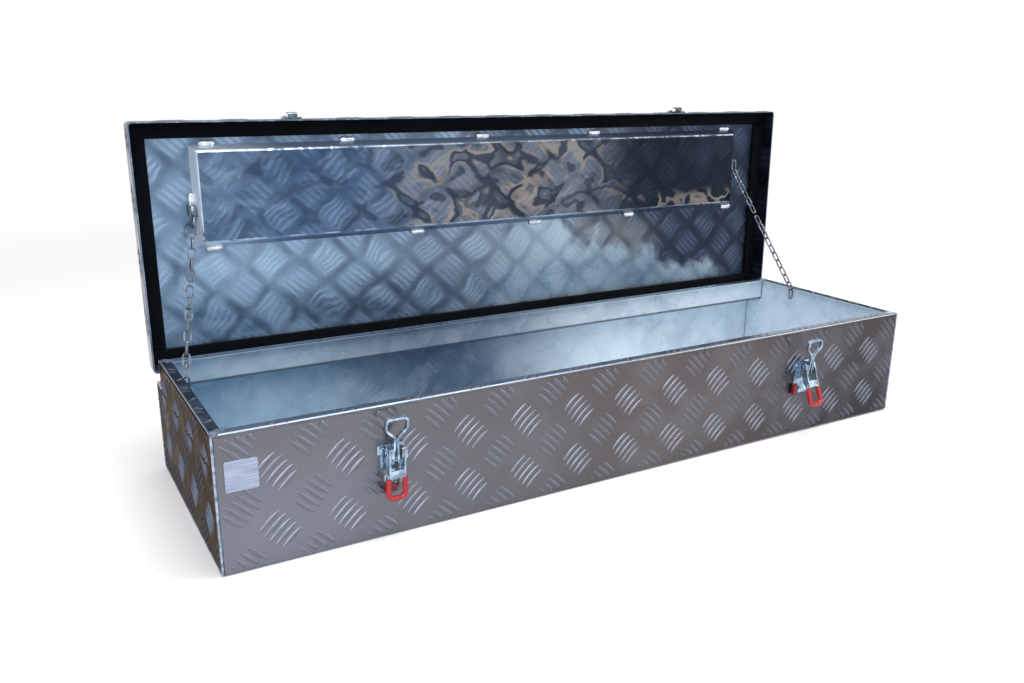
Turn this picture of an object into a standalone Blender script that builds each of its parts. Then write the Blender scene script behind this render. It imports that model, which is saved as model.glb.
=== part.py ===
"""A low aluminium trailer tongue box with its full-width lid standing open.

A folded wrap and two end panels make the body, whose back wall steps forward under the rim. The lid is
a shallow tray that hangs on a piano hinge behind the step, with a seal round its edge and a stiffening
pan on its inside. Two chains stop it just past upright. Two draw latches on the front wall reach up to
two keepers on the lid's front skirt.

Metres, +Z up. The origin is the middle of the underside, X runs along the box and the front faces -Y.
"""

import math

import bmesh
import bpy
from mathutils import Matrix, Vector

# Body
BOX_LENGTH = 1.000
BOX_DEPTH = 0.310
BOX_HEIGHT = 0.153
SHEET = 0.002
FOLD_RADIUS = 0.004
NOTCH_DEPTH = 0.033
LEDGE_DROP = 0.036
RIM_FLANGE = 0.013
WELD_RADIUS = 0.0016
SEAM_GAP = 0.0003
CUT_OVERRUN = 0.004

# Hinge
HINGE_LENGTH = 0.940
HINGE_STANDOFF = 0.0129
KNUCKLE_COUNT = 27
LEAF_SHEET = 0.0012
LEAF_WIDTH = 0.017
HINGE_PIN_RADIUS = 0.0011
KNUCKLE_CURL = math.radians(275)

# Lid, seal and pan
LID_SIDE_CLEARANCE = 0.0035
LID_SKIRT = 0.028
LID_CORNER_RADIUS = 0.0055
HINGE_ABOVE_SKIRT_EDGE = 0.0056
LID_OPEN_ANGLE = math.radians(91)
SEAL_WIDTH = 0.0185
SEAL_THICKNESS = 0.0047
SEAL_BACK_SETBACK = 0.0050
SEAL_EDGE_BEVEL = 0.0012
PAN_LENGTH = 0.876
PAN_SIDE_SHIFT = 0.002
PAN_WIDTH = 0.125
PAN_FRONT_SETBACK = 0.0293
PAN_HEIGHT = 0.011
PAN_WALL_RUN = 0.007
PAN_CORNER_RADIUS = 0.0012
PAN_FOLD = 0.0016

# Chains
WIRE_RADIUS = 0.00125
LINK_INNER_LENGTH = 0.0143
LINK_INNER_WIDTH = 0.0050
LINK_GAP = 0.0004
LINK_BITE = 0.0005
LOWER_CHAIN_SHARE = 0.6
CHAIN_MIDDLE_GAP = 0.0026
CHAIN_RIM_Y = {"left": 0.047, "right": 0.040}
CHAIN_LID_REACH = {"left": 0.184, "right": 0.205}
LID_LINK_STAND = 0.0060

# Latches, on the front wall, with heights from the foot of the base plate
LATCH_X = {"left": -0.3135, "right": 0.3040}
HANDLE_REST_OPENING = {"left": 0.0, "right": math.radians(24)}
CATCH_REST_SWING = {"left": 0.0, "right": math.radians(90)}
EYE_REST_LEAN = math.radians(8)
BASE_HALF_WIDTH = 0.0143
BASE_FOOT_DROP = 0.091
BASE_HEIGHT = 0.047
EAR_REACH = 0.0032
EAR_HEIGHT = 0.0105
EAR_DROP = 0.010
BASE_CORNER = 0.0025
RIVET_RADIUS = 0.0025
RIVET_HEIGHT = 0.0013
RIVET_TOP_SHARE = 0.55
CHEEK_GAP_HALF = 0.0053
LATCH_SHEET = 0.0018
CHEEK_BOTTOM = 0.022
CHEEK_TOP = 0.0455
CHEEK_REACH = 0.0068
CHEEK_NOSE = 0.0056
PIVOT_STAND = 0.0116
PIVOT_HEIGHT = 0.040
PIVOT_RADIUS = 0.0020
PIVOT_HEAD_RADIUS = 0.0036
PIVOT_HEAD = 0.0013
ARM_SHEET = 0.0020
ARM_GAP = 0.0005
ARM_HEAD_RADIUS = 0.0056
ARM_LENGTH = 0.0287
ARM_FRONT = 0.0044
ARM_BACK = 0.0046
ARM_SHOULDER = 0.0040
ARM_WAIST = 0.0140
ARM_HEEL = 0.0220
ARM_CORNER = 0.0022
WEB_DROP = 0.0195
BAR_RADIUS = 0.0021
BAR_FORWARD = 0.0004
BAR_FOLD = 0.0062
GRIP_HALF_WIDTH = 0.0102
GRIP_RADIUS = 0.0032
GRIP_BOTTOM = 0.0560
EYE_PIN_DROP = 0.0100
EYE_PIN_SETBACK = 0.0020
EYE_PIN_RADIUS = 0.0015
EYE_COLLAR_RADIUS = 0.0024
EYE_STRIP = 0.0024
EYE_DEPTH = 0.0042
EYE_STEM_SPREAD = 0.0034
EYE_STEM_OVERHANG = 0.0033
EYE_PINCH_HEIGHT = 0.0280
EYE_SHOULDER_HEIGHT = 0.0385
EYE_LOOP_HALF_WIDTH = 0.0121
EYE_HEIGHT = 0.0508
EYE_FOLDS = (0.0040, 0.0075, 0.0045)
CATCH_SIDE = -0.0045
CATCH_HEIGHT = 0.0065
CATCH_SHEET = 0.0015
CATCH_STEM_WIDTH = 0.0060
CATCH_BAR_WIDTH = 0.0150
CATCH_BAR_HEIGHT = 0.0012
CATCH_LENGTH = 0.0046
CATCH_TIP_HEIGHT = 0.0080
CATCH_TIP_DEPTH = 0.0042
CATCH_TIP_CORNER = 0.0020

# Keepers, on the lid's front skirt
KEEPER_SHIFT = 0.0028
KEEPER_WIDTH = 0.022
KEEPER_HEIGHT = 0.020
KEEPER_RIVET_SIDE = 0.0068
HOOK_WIDTH = 0.012
HOOK_SHEET = 0.0016
HOOK_LIP = 0.0062
HOOK_FOLD = 0.0022
HOOK_NOTCH = 0.0045

# Facets
FOLD_STEPS = 4
PIN_SIDES = 12
BEAD_SIDES = 8
BEAD_STEPS = 4
CURL_STEPS = 9
LINK_SIDES = 6
LINK_STEPS = 4

# Worked out from the sizes above
FRONT_Y = -BOX_DEPTH / 2
REAR_Y = BOX_DEPTH / 2
BAND_Y = REAR_Y - NOTCH_DEPTH
LEDGE_Z = BOX_HEIGHT - LEDGE_DROP
WELD_GROOVE = 2 * WELD_RADIUS + SEAM_GAP
LEAF_RADIUS = HINGE_PIN_RADIUS + SEAM_GAP + LEAF_SHEET / 2
KNUCKLE_RADIUS = LEAF_RADIUS + LEAF_SHEET / 2
LID_INSIDE_Z = BOX_HEIGHT + SEAL_THICKNESS + 2 * SEAM_GAP
LID_TOP_Z = LID_INSIDE_Z + SHEET
HINGE_Y = BAND_Y + HINGE_STANDOFF
HINGE_Z = LID_TOP_Z - LID_SKIRT + HINGE_ABOVE_SKIRT_EDGE

# In the hinge's own frame, with the lid closed
LID_FRONT = FRONT_Y - LID_SIDE_CLEARANCE - SHEET - HINGE_Y
LID_BACK = KNUCKLE_RADIUS + SEAM_GAP + SHEET
LID_HALF_LENGTH = BOX_LENGTH / 2 + LID_SIDE_CLEARANCE + SHEET
LID_TOP = LID_TOP_Z - HINGE_Z
LID_INSIDE = LID_INSIDE_Z - HINGE_Z
PAN_FRONT = LID_FRONT + PAN_FRONT_SETBACK
PAN_BACK = PAN_FRONT + PAN_WIDTH
PAN_FOOT = LID_INSIDE - SEAM_GAP

ARM_INNER = CHEEK_GAP_HALF + LATCH_SHEET + ARM_GAP
ARM_OUTER = ARM_INNER + ARM_SHEET
ARM_MIDDLE = (ARM_INNER + ARM_OUTER) / 2
EYE_PIN_STAND = PIVOT_STAND - EYE_PIN_SETBACK
EYE_PIN_HEIGHT = PIVOT_HEIGHT - EYE_PIN_DROP
BASE_FOOT_Z = BOX_HEIGHT - BASE_FOOT_DROP
SEAT_Z = BASE_FOOT_Z + EYE_PIN_HEIGHT + EYE_HEIGHT - EYE_STRIP / 2 - SEAM_GAP


def clear_scene():
    for item in list(bpy.data.objects):
        bpy.data.objects.remove(item, do_unlink=True)


def material(name, colour, roughness, metallic):
    """One Principled material."""
    made = bpy.data.materials.new(name)
    made.use_nodes = True
    shader = made.node_tree.nodes["Principled BSDF"]
    shader.inputs["Base Color"].default_value = (*colour, 1.0)
    shader.inputs["Roughness"].default_value = roughness
    shader.inputs["Metallic"].default_value = metallic
    return made


def frame_at(name, location, rotation=(0.0, 0.0, 0.0), parent=None):
    """An empty that carries pieces modelled round it."""
    empty = bpy.data.objects.new(name, None)
    empty.location = location
    empty.rotation_euler = rotation
    empty.parent = parent
    bpy.context.collection.objects.link(empty)
    return empty


def add_piece(name, bm, look, frame=None, location=(0.0, 0.0, 0.0)):
    """Turn a bmesh into a named object that rides on a frame."""
    bmesh.ops.recalc_face_normals(bm, faces=bm.faces)
    mesh = bpy.data.meshes.new(name)
    bm.to_mesh(mesh)
    bm.free()
    mesh.materials.append(look)
    piece = bpy.data.objects.new(name, mesh)
    piece.location = location
    piece.parent = frame
    bpy.context.collection.objects.link(piece)
    return piece


def cut_or_join(piece, name, bm, operation):
    """Add a Boolean whose tool is a hidden object in the piece's own frame."""
    tool = add_piece(name, bm, piece.data.materials[0], piece.parent, piece.location)
    tool.hide_render = True
    tool.display_type = 'WIRE'
    step = piece.modifiers.new(name, 'BOOLEAN')
    step.operation = operation
    step.solver = 'EXACT'
    step.object = tool


def turn(corner, before, after, radius, steps):
    """Points of a fillet at a corner of a flat path."""
    into = (before - corner).normalized()
    out = (after - corner).normalized()
    half = into.angle(out) / 2
    setback = min(radius / math.tan(half), (before - corner).length / 2, (after - corner).length / 2)
    radius = setback * math.tan(half)
    centre = corner + (into + out).normalized() * radius / math.sin(half)
    start = corner + into * setback - centre
    sweep = start.angle_signed(corner + out * setback - centre)
    return [centre + Matrix.Rotation(-sweep * i / steps, 2) @ start for i in range(steps + 1)]


def fillet_path(points, radii, steps=FOLD_STEPS):
    """A flat open path with its inner corners rounded."""
    points = [Vector(point) for point in points]
    if isinstance(radii, float):
        radii = [radii] * (len(points) - 2)
    path = [points[0]]
    for i, radius in enumerate(radii, 1):
        path += turn(points[i], points[i - 1], points[i + 1], radius, steps)
    return path + [points[-1]]


def rounded_outline(points, radii, steps=FOLD_STEPS):
    """A flat closed outline with its corners rounded, or left sharp where a radius is zero."""
    points = [Vector(point) for point in points]
    if isinstance(radii, float):
        radii = [radii] * len(points)
    outline = []
    for i, (point, radius) in enumerate(zip(points, radii)):
        if radius == 0.0:
            outline.append(point)
        else:
            outline += turn(point, points[i - 1], points[(i + 1) % len(points)], radius, steps)
    return outline


def offset_path(path, distance):
    """The path moved sideways, with mitred corners."""
    moved = []
    for i, point in enumerate(path):
        ahead = (path[min(i + 1, len(path) - 1)] - point)
        behind = (point - path[max(i - 1, 0)])
        ahead = ahead.normalized() if ahead.length else behind.normalized()
        behind = behind.normalized() if behind.length else ahead
        middle = (ahead + behind).normalized()
        normal = Vector((-middle.y, middle.x))
        moved.append(point + normal * distance / middle.dot(ahead))
    return moved


def strip_outline(points, radii, thickness):
    """The outline of a sheet folded along a path."""
    path = fillet_path(points, radii)
    return offset_path(path, thickness / 2) + offset_path(path, -thickness / 2)[::-1]


def place(axis, a, b, along):
    """A point of a flat outline, at a distance along the axis that the outline is drawn across."""
    return Vector({"x": (along, a, b), "y": (a, along, b), "z": (a, b, along)}[axis])


def prism(bm, outline, axis, low, high):
    """A flat outline drawn out along an axis."""
    rings = [[bm.verts.new(place(axis, a, b, along)) for a, b in outline] for along in (low, high)]
    bm.faces.new(rings[0])
    bm.faces.new(rings[1])
    for i in range(len(outline)):
        bm.faces.new((rings[0][i - 1], rings[0][i], rings[1][i], rings[1][i - 1]))


def box(bm, low, high):
    """A plain block between two corners."""
    prism(bm, [(low[0], low[1]), (high[0], low[1]), (high[0], high[1]), (low[0], high[1])],
          "z", low[2], high[2])


def rectangle(low_a, low_b, high_a, high_b):
    return [(low_a, low_b), (high_a, low_b), (high_a, high_b), (low_a, high_b)]


def skin_rings(bm, rings):
    """Bridge equal rings in turn and close the first and the last."""
    rows = [[bm.verts.new(point) for point in ring] for ring in rings]
    bm.faces.new(rows[0])
    bm.faces.new(rows[-1])
    for row, after in zip(rows, rows[1:]):
        for i in range(len(row)):
            bm.faces.new((row[i - 1], row[i], after[i], after[i - 1]))


def ring_at(point, tangent, normal, radius, sides):
    out = tangent.cross(normal).normalized()
    angles = [2 * math.pi * (i + 1 / 2) / sides for i in range(sides)]
    return [point + radius * (math.cos(a) * out + math.sin(a) * normal) for a in angles]


def tube(bm, path, normal, radius, sides, closed=False, bore=0.0):
    """A round bar or pipe along a path that lies in the plane across the normal."""
    count = len(path)
    tangents = []
    for i in range(count):
        ahead = path[(i + 1) % count] if closed or i < count - 1 else path[i]
        behind = path[i - 1] if closed or i else path[i]
        tangents.append((ahead - behind).normalized())

    def rings(size):
        return [ring_at(point, tangent, normal, size, sides) for point, tangent in zip(path, tangents)]

    if bore:
        rows = rings(radius) + rings(bore)[::-1]
        closed = True
    else:
        rows = rings(radius)
    verts = [[bm.verts.new(point) for point in row] for row in rows]
    if not closed:
        bm.faces.new(verts[0])
        bm.faces.new(verts[-1])
    for k in range(0 if closed else 1, len(verts)):
        for i in range(sides):
            bm.faces.new((verts[k - 1][i - 1], verts[k - 1][i], verts[k][i], verts[k][i - 1]))


def lathe(bm, profile, centre, sides):
    """A turned piece along X from (x, radius) pairs."""
    y, z = centre
    rings = []
    for x, radius in profile:
        angles = [2 * math.pi * (i + 1 / 2) / sides for i in range(sides)]
        rings.append([Vector((x, y + radius * math.cos(a), z + radius * math.sin(a))) for a in angles])
    skin_rings(bm, rings)


def rivet_head(bm, x, y, z):
    """A domed head on a face that looks along -Y."""
    rings = []
    top = RIVET_RADIUS * RIVET_TOP_SHARE
    for radius, out in ((RIVET_RADIUS, 0.0), (RIVET_RADIUS, RIVET_HEIGHT / 2), (top, RIVET_HEIGHT)):
        angles = [2 * math.pi * i / PIN_SIDES for i in range(PIN_SIDES)]
        rings.append([Vector((x + radius * math.cos(a), y - out, z + radius * math.sin(a))) for a in angles])
    skin_rings(bm, rings)


def wrap_points(inset, rim_reach):
    """The corners of the folded wrap's cross-section, seen along X, drawn in by an inset."""
    front = FRONT_Y + inset
    band = BAND_Y - inset
    rear = REAR_Y - inset
    top = BOX_HEIGHT - inset
    ledge = LEDGE_Z - inset
    return [(FRONT_Y + rim_reach, top), (front, top), (front, inset), (rear, inset),
            (rear, ledge), (band, ledge), (band, top), (BAND_Y - rim_reach, top)]


def make_body_wrap(look):
    """Front flange, front wall, floor, back wall, ledge, band and back flange from one sheet."""
    half = BOX_LENGTH / 2 - WELD_GROOVE
    bm = bmesh.new()
    outline = strip_outline(wrap_points(SHEET / 2, RIM_FLANGE), FOLD_RADIUS - SHEET / 2, SHEET)
    prism(bm, outline, "x", -half, half)
    add_piece("body_wrap", bm, look)


def make_end_panel(side, sign, look):
    """An end wall with its top edge folded inwards, notched for the ledge and for the long flanges."""
    outer = sign * BOX_LENGTH / 2
    middle = outer - sign * SHEET / 2
    top = BOX_HEIGHT - SHEET / 2
    tip = outer - sign * RIM_FLANGE
    bm = bmesh.new()
    corners = [(middle, WELD_GROOVE), (middle, top), (tip, top)]
    outline = strip_outline(corners, FOLD_RADIUS - SHEET / 2, SHEET)
    prism(bm, outline, "y", FRONT_Y + WELD_GROOVE, REAR_Y - WELD_GROOVE)
    panel = add_piece("end_panel_" + side, bm, look)
    inside = outer - sign * SHEET
    far = outer - sign * (RIM_FLANGE + CUT_OVERRUN)
    low_x, high_x = min(inside, far), max(inside, far)
    fold_bottom = BOX_HEIGHT - FOLD_RADIUS
    above = BOX_HEIGHT + CUT_OVERRUN
    bm = bmesh.new()
    box(bm, (low_x, FRONT_Y - CUT_OVERRUN, fold_bottom),
        (high_x, FRONT_Y + RIM_FLANGE + SEAM_GAP, above))
    box(bm, (low_x, BAND_Y - RIM_FLANGE - SEAM_GAP, fold_bottom),
        (high_x, BAND_Y, above))
    cut_or_join(panel, "flange_cut_" + side, bm, 'DIFFERENCE')
    bm = bmesh.new()
    box(bm, (min(far, outer + sign * CUT_OVERRUN), BAND_Y - WELD_GROOVE, LEDGE_Z - WELD_GROOVE),
        (max(far, outer + sign * CUT_OVERRUN), REAR_Y + CUT_OVERRUN, above))
    cut_or_join(panel, "ledge_cut_" + side, bm, 'DIFFERENCE')


def make_corner_weld(side, sign, look):
    """A bead down one end of the wrap, with a short run into each long flange of the rim."""
    bead = wrap_points(WELD_RADIUS, RIM_FLANGE)[1:-1]
    top = BOX_HEIGHT - SEAM_GAP
    bead[0] = (bead[0][0], top)
    bead[-1] = (bead[-1][0], top)
    x = sign * (BOX_LENGTH / 2 - WELD_RADIUS)
    path = [Vector((x, y, z)) for y, z in fillet_path(bead, FOLD_RADIUS - WELD_RADIUS, BEAD_STEPS)]
    bm = bmesh.new()
    tube(bm, path, Vector((1, 0, 0)), WELD_RADIUS, BEAD_SIDES)
    weld = add_piece("corner_weld_" + side, bm, look)
    inner = sign * (BOX_LENGTH / 2 - WELD_GROOVE + SEAM_GAP)
    outer = sign * (BOX_LENGTH / 2 - SHEET - SEAM_GAP)
    bm = bmesh.new()
    runs = ((FRONT_Y + WELD_RADIUS, FRONT_Y + RIM_FLANGE), (BAND_Y - RIM_FLANGE, BAND_Y - WELD_RADIUS))
    for low_y, high_y in runs:
        box(bm, (min(inner, outer), low_y, BOX_HEIGHT - SHEET), (max(inner, outer), high_y, BOX_HEIGHT))
    cut_or_join(weld, "rim_runs_" + side, bm, 'UNION')


def knuckle_spans(first):
    """The stretches of the hinge that belong to every second knuckle, from the first one given."""
    pitch = HINGE_LENGTH / KNUCKLE_COUNT
    start = -HINGE_LENGTH / 2
    half_gap = SEAM_GAP / 2
    return [(start + k * pitch + half_gap, start + (k + 1) * pitch - half_gap)
            for k in range(first, KNUCKLE_COUNT, 2)]


def hinge_leaf(flat, curl_start, spans):
    """A leaf that runs from end to end up to its root, and on from there only as knuckles."""
    curl = [Vector((LEAF_RADIUS * math.cos(a), LEAF_RADIUS * math.sin(a)))
            for a in (curl_start - KNUCKLE_CURL * i / CURL_STEPS for i in range(CURL_STEPS + 1))]
    path = flat + curl
    root = len(flat) - 1
    faces = [offset_path(path, LEAF_SHEET / 2), offset_path(path, -LEAF_SHEET / 2)]
    low, high = -HINGE_LENGTH / 2, HINGE_LENGTH / 2
    cuts = [low] + [x for span in spans for x in span] + [high]
    bm = bmesh.new()
    made = {}

    def vert(face, index, x):
        if (face, index, x) not in made:
            made[face, index, x] = bm.verts.new((x, *faces[face][index]))
        return made[face, index, x]

    def across(indices, x):
        bm.faces.new([vert(0, i, x) for i in indices] + [vert(1, i, x) for i in reversed(indices)])

    def quad(first, second, a, b):
        bm.faces.new((vert(*first, a), vert(*second, a), vert(*second, b), vert(*first, b)))

    for face in (0, 1):
        for i in range(root - 1):
            quad((face, i), (face, i + 1), low, high)
        for a, b in zip(cuts, cuts[1:]):
            bm.faces.new((vert(face, root - 1, low), vert(face, root, a), vert(face, root, b)))
        bm.faces.new((vert(face, root - 1, low), vert(face, root, high), vert(face, root - 1, high)))
        for a, b in spans:
            for i in range(root, len(path) - 1):
                quad((face, i), (face, i + 1), a, b)
    quad((0, 0), (1, 0), low, high)
    for a, b in zip(cuts, cuts[1:]):
        tip = len(path) - 1 if (a, b) in spans else root
        quad((0, tip), (1, tip), a, b)
    for x in (low, high):
        across(list(range(root + 1)), x)
    for span in spans:
        for x in span:
            across(list(range(root, len(path))), x)
    return bm


def make_hinge(hinge, steel):
    """Piano hinge: one leaf down the band, one up the lid's back skirt, curled in turn round the pin."""
    root_reach = KNUCKLE_RADIUS + 2 * SEAM_GAP
    foot = -HINGE_STANDOFF + SEAM_GAP + LEAF_SHEET / 2
    flat = fillet_path([(foot, -LEAF_WIDTH), (foot, LEAF_RADIUS), (-root_reach, LEAF_RADIUS)], LEAF_RADIUS)
    seat = (0.0, HINGE_Y, HINGE_Z)
    add_piece("hinge_box_leaf", hinge_leaf(flat, math.pi / 2, knuckle_spans(0)), steel, None, seat)

    flat = [Vector((LEAF_RADIUS, LEAF_WIDTH)), Vector((LEAF_RADIUS, root_reach))]
    add_piece("hinge_lid_leaf", hinge_leaf(flat, 0.0, knuckle_spans(1)), steel, hinge)

    bm = bmesh.new()
    half = HINGE_LENGTH / 2
    lathe(bm, [(-half, HINGE_PIN_RADIUS), (half, HINGE_PIN_RADIUS)], (0.0, 0.0), PIN_SIDES)
    add_piece("hinge_pin", bm, steel, None, seat)


def tray_ring(half_length, front, back, corner, z, shift=0.0):
    """A rounded rectangle at one height."""
    outline = rounded_outline(rectangle(shift - half_length, front, shift + half_length, back), corner)
    return [Vector((x, y, z)) for x, y in outline]


def make_lid_skin(hinge, look):
    """The lid: a flat plate with its four edges folded down and its corners rounded."""
    rings = []

    def ring(inset, z):
        corner = LID_CORNER_RADIUS - inset
        rings.append(tray_ring(LID_HALF_LENGTH - inset, LID_FRONT + inset, LID_BACK - inset, corner, z))

    edge = LID_TOP - LID_SKIRT
    inner_fold = FOLD_RADIUS - SHEET
    for i in range(FOLD_STEPS + 1):
        a = math.pi / 2 * (1 - i / FOLD_STEPS)
        ring(FOLD_RADIUS * (1 - math.cos(a)), LID_TOP - FOLD_RADIUS * (1 - math.sin(a)))
    ring(0.0, edge)
    ring(SHEET, edge)
    for i in range(FOLD_STEPS + 1):
        a = math.pi / 2 * i / FOLD_STEPS
        ring(SHEET + inner_fold * (1 - math.cos(a)), LID_INSIDE - inner_fold * (1 - math.sin(a)))
    bm = bmesh.new()
    skin_rings(bm, rings)
    add_piece("lid_skin", bm, look, hinge)


def make_seal(hinge, look):
    """Four foam strips inside the lid's edge, which close on the rim and butt at the corners."""
    low, high = LID_INSIDE - SEAM_GAP - SEAL_THICKNESS, LID_INSIDE - SEAM_GAP
    end = LID_HALF_LENGTH - SHEET - SEAM_GAP
    front = LID_FRONT + SHEET + SEAM_GAP
    back = LID_BACK - SEAL_BACK_SETBACK
    inner_front = front + SEAL_WIDTH + SEAM_GAP
    inner_back = back - SEAL_WIDTH - SEAM_GAP
    near = (LID_CORNER_RADIUS, LID_CORNER_RADIUS, 0.0, 0.0)
    far = (0.0, 0.0, LID_CORNER_RADIUS, LID_CORNER_RADIUS)
    square = (0.0, 0.0, 0.0, 0.0)
    strips = {
        "lid_seal_front": ((-end, front, end, front + SEAL_WIDTH), near),
        "lid_seal_rear": ((-end, back - SEAL_WIDTH, end, back), far),
        "lid_seal_left": ((-end, inner_front, SEAL_WIDTH - end, inner_back), square),
        "lid_seal_right": ((end - SEAL_WIDTH, inner_front, end, inner_back), square),
    }
    for name, (corners, radii) in strips.items():
        bm = bmesh.new()
        outline = rounded_outline(rectangle(*corners), radii)
        prism(bm, outline, "z", low, high)
        rims = [edge for edge in bm.edges if edge.verts[0].co.z == edge.verts[1].co.z]
        bmesh.ops.bevel(bm, geom=rims, offset=SEAL_EDGE_BEVEL, segments=1, affect='EDGES')
        add_piece(name, bm, look, hinge)


def make_pan(hinge, look):
    """A shallow sheet pan that stiffens the lid, its open side against the plate."""
    rings = []

    def ring(inset, z):
        rings.append(tray_ring(PAN_LENGTH / 2 - inset, PAN_FRONT + inset, PAN_BACK - inset,
                               PAN_CORNER_RADIUS, z, PAN_SIDE_SHIFT))

    face = PAN_FOOT - PAN_HEIGHT
    slope = math.hypot(PAN_HEIGHT, PAN_WALL_RUN)
    wall = SHEET * slope / PAN_HEIGHT
    lean = PAN_WALL_RUN / PAN_HEIGHT
    ring(PAN_WALL_RUN + PAN_FOLD, face)
    ring(PAN_WALL_RUN - PAN_FOLD * lean, face + PAN_FOLD)
    ring(0.0, PAN_FOOT)
    ring(wall, PAN_FOOT)
    ring(wall + PAN_WALL_RUN - (PAN_FOLD + SHEET) * lean, face + PAN_FOLD + SHEET)
    ring(wall + PAN_WALL_RUN + PAN_FOLD - SHEET * lean, face + SHEET)
    bm = bmesh.new()
    skin_rings(bm, rings)
    add_piece("lid_pan", bm, look, hinge)


def chain_link(bm, centre, along, across, inner_length):
    """One welded wire link: two straight runs and two round ends."""
    reach = (inner_length - LINK_INNER_WIDTH) / 2
    radius = LINK_INNER_WIDTH / 2 + WIRE_RADIUS
    path = []
    for sign in (1, -1):
        for i in range(LINK_STEPS + 1):
            a = math.pi * (i / LINK_STEPS - 1 / 2)
            step = along * (reach + radius * math.cos(a)) + across * radius * math.sin(a)
            path.append(centre + sign * step)
    tube(bm, path, along.cross(across).normalized(), WIRE_RADIUS, LINK_SIDES, closed=True)


def make_chain(side, sign, hinge_turn, hinge, look):
    """A stay chain in two halves, with the end links welded under the rim and beside the lid's pan."""
    up, lengthwise, rearward = Vector((0, 0, 1)), Vector((1, 0, 0)), Vector((0, 1, 0))
    half_width = LINK_INNER_WIDTH / 2 + 2 * WIRE_RADIUS
    half_length = LINK_INNER_LENGTH / 2 + 2 * WIRE_RADIUS
    tuck = math.sqrt(half_width ** 2 - (half_width - SHEET) ** 2)
    rim_x = sign * (BOX_LENGTH / 2 - RIM_FLANGE - SEAM_GAP - tuck)
    rim_wire = Vector((rim_x, CHAIN_RIM_Y[side], BOX_HEIGHT - WIRE_RADIUS))
    bm = bmesh.new()
    chain_link(bm, up * (WIRE_RADIUS - half_length), up, lengthwise, LINK_INNER_LENGTH)
    add_piece("chain_%s_rim_link" % side, bm, look, None, rim_wire)

    pan_end = PAN_SIDE_SHIFT + sign * PAN_LENGTH / 2
    wall_here = PAN_WALL_RUN * (LID_LINK_STAND - SEAM_GAP) / PAN_HEIGHT
    slope = math.hypot(PAN_HEIGHT, PAN_WALL_RUN) / PAN_HEIGHT
    beside = (WIRE_RADIUS + SEAM_GAP) * slope - wall_here + LINK_INNER_WIDTH / 2 + WIRE_RADIUS
    lid_y = LID_BACK - CHAIN_LID_REACH[side]
    lid_wire = Vector((pan_end + sign * beside, lid_y, LID_INSIDE - LID_LINK_STAND))
    bm = bmesh.new()
    chain_link(bm, rearward * (WIRE_RADIUS - half_length), rearward, lengthwise, LINK_INNER_LENGTH)
    add_piece("chain_%s_lid_link" % side, bm, look, hinge, lid_wire)

    lid_wire = Vector((0.0, HINGE_Y, HINGE_Z)) + hinge_turn @ lid_wire
    span = (lid_wire - rim_wire).length
    along = (lid_wire - rim_wire).normalized()
    edgewise = lengthwise.cross(along).normalized()
    flatwise = along.cross(edgewise).normalized()
    count = 2 * round(span / (2 * LINK_INNER_LENGTH))
    lower_count = 2 * round(count * LOWER_CHAIN_SHARE / 2)
    hooks = 2 * (WIRE_RADIUS + LINK_GAP)
    joins = (count - 2) * LINK_BITE
    inner_length = (span + hooks - joins - 4 * WIRE_RADIUS - CHAIN_MIDDLE_GAP) / count
    first = inner_length / 2 - WIRE_RADIUS - LINK_GAP
    for half, start, direction, links in (("lower", rim_wire, along, lower_count),
                                          ("upper", lid_wire, -along, count - lower_count)):
        edge_on, flat_on = bmesh.new(), bmesh.new()
        for i in range(0, links, 2):
            centre = direction * (first + i * (inner_length + LINK_BITE))
            chain_link(edge_on, centre, direction, edgewise, inner_length)
            centre += direction * (inner_length + LINK_BITE)
            chain_link(flat_on, centre, direction, flatwise, inner_length)
        chain = add_piece("chain_%s_%s" % (side, half), edge_on, look, None, start)
        cut_or_join(chain, "chain_%s_%s_flat_links" % (side, half), flat_on, 'UNION')


def mirror_outline(outline):
    """The same outline on the other side of X = 0."""
    return [(-a, b) for a, b in reversed(outline)]


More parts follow.
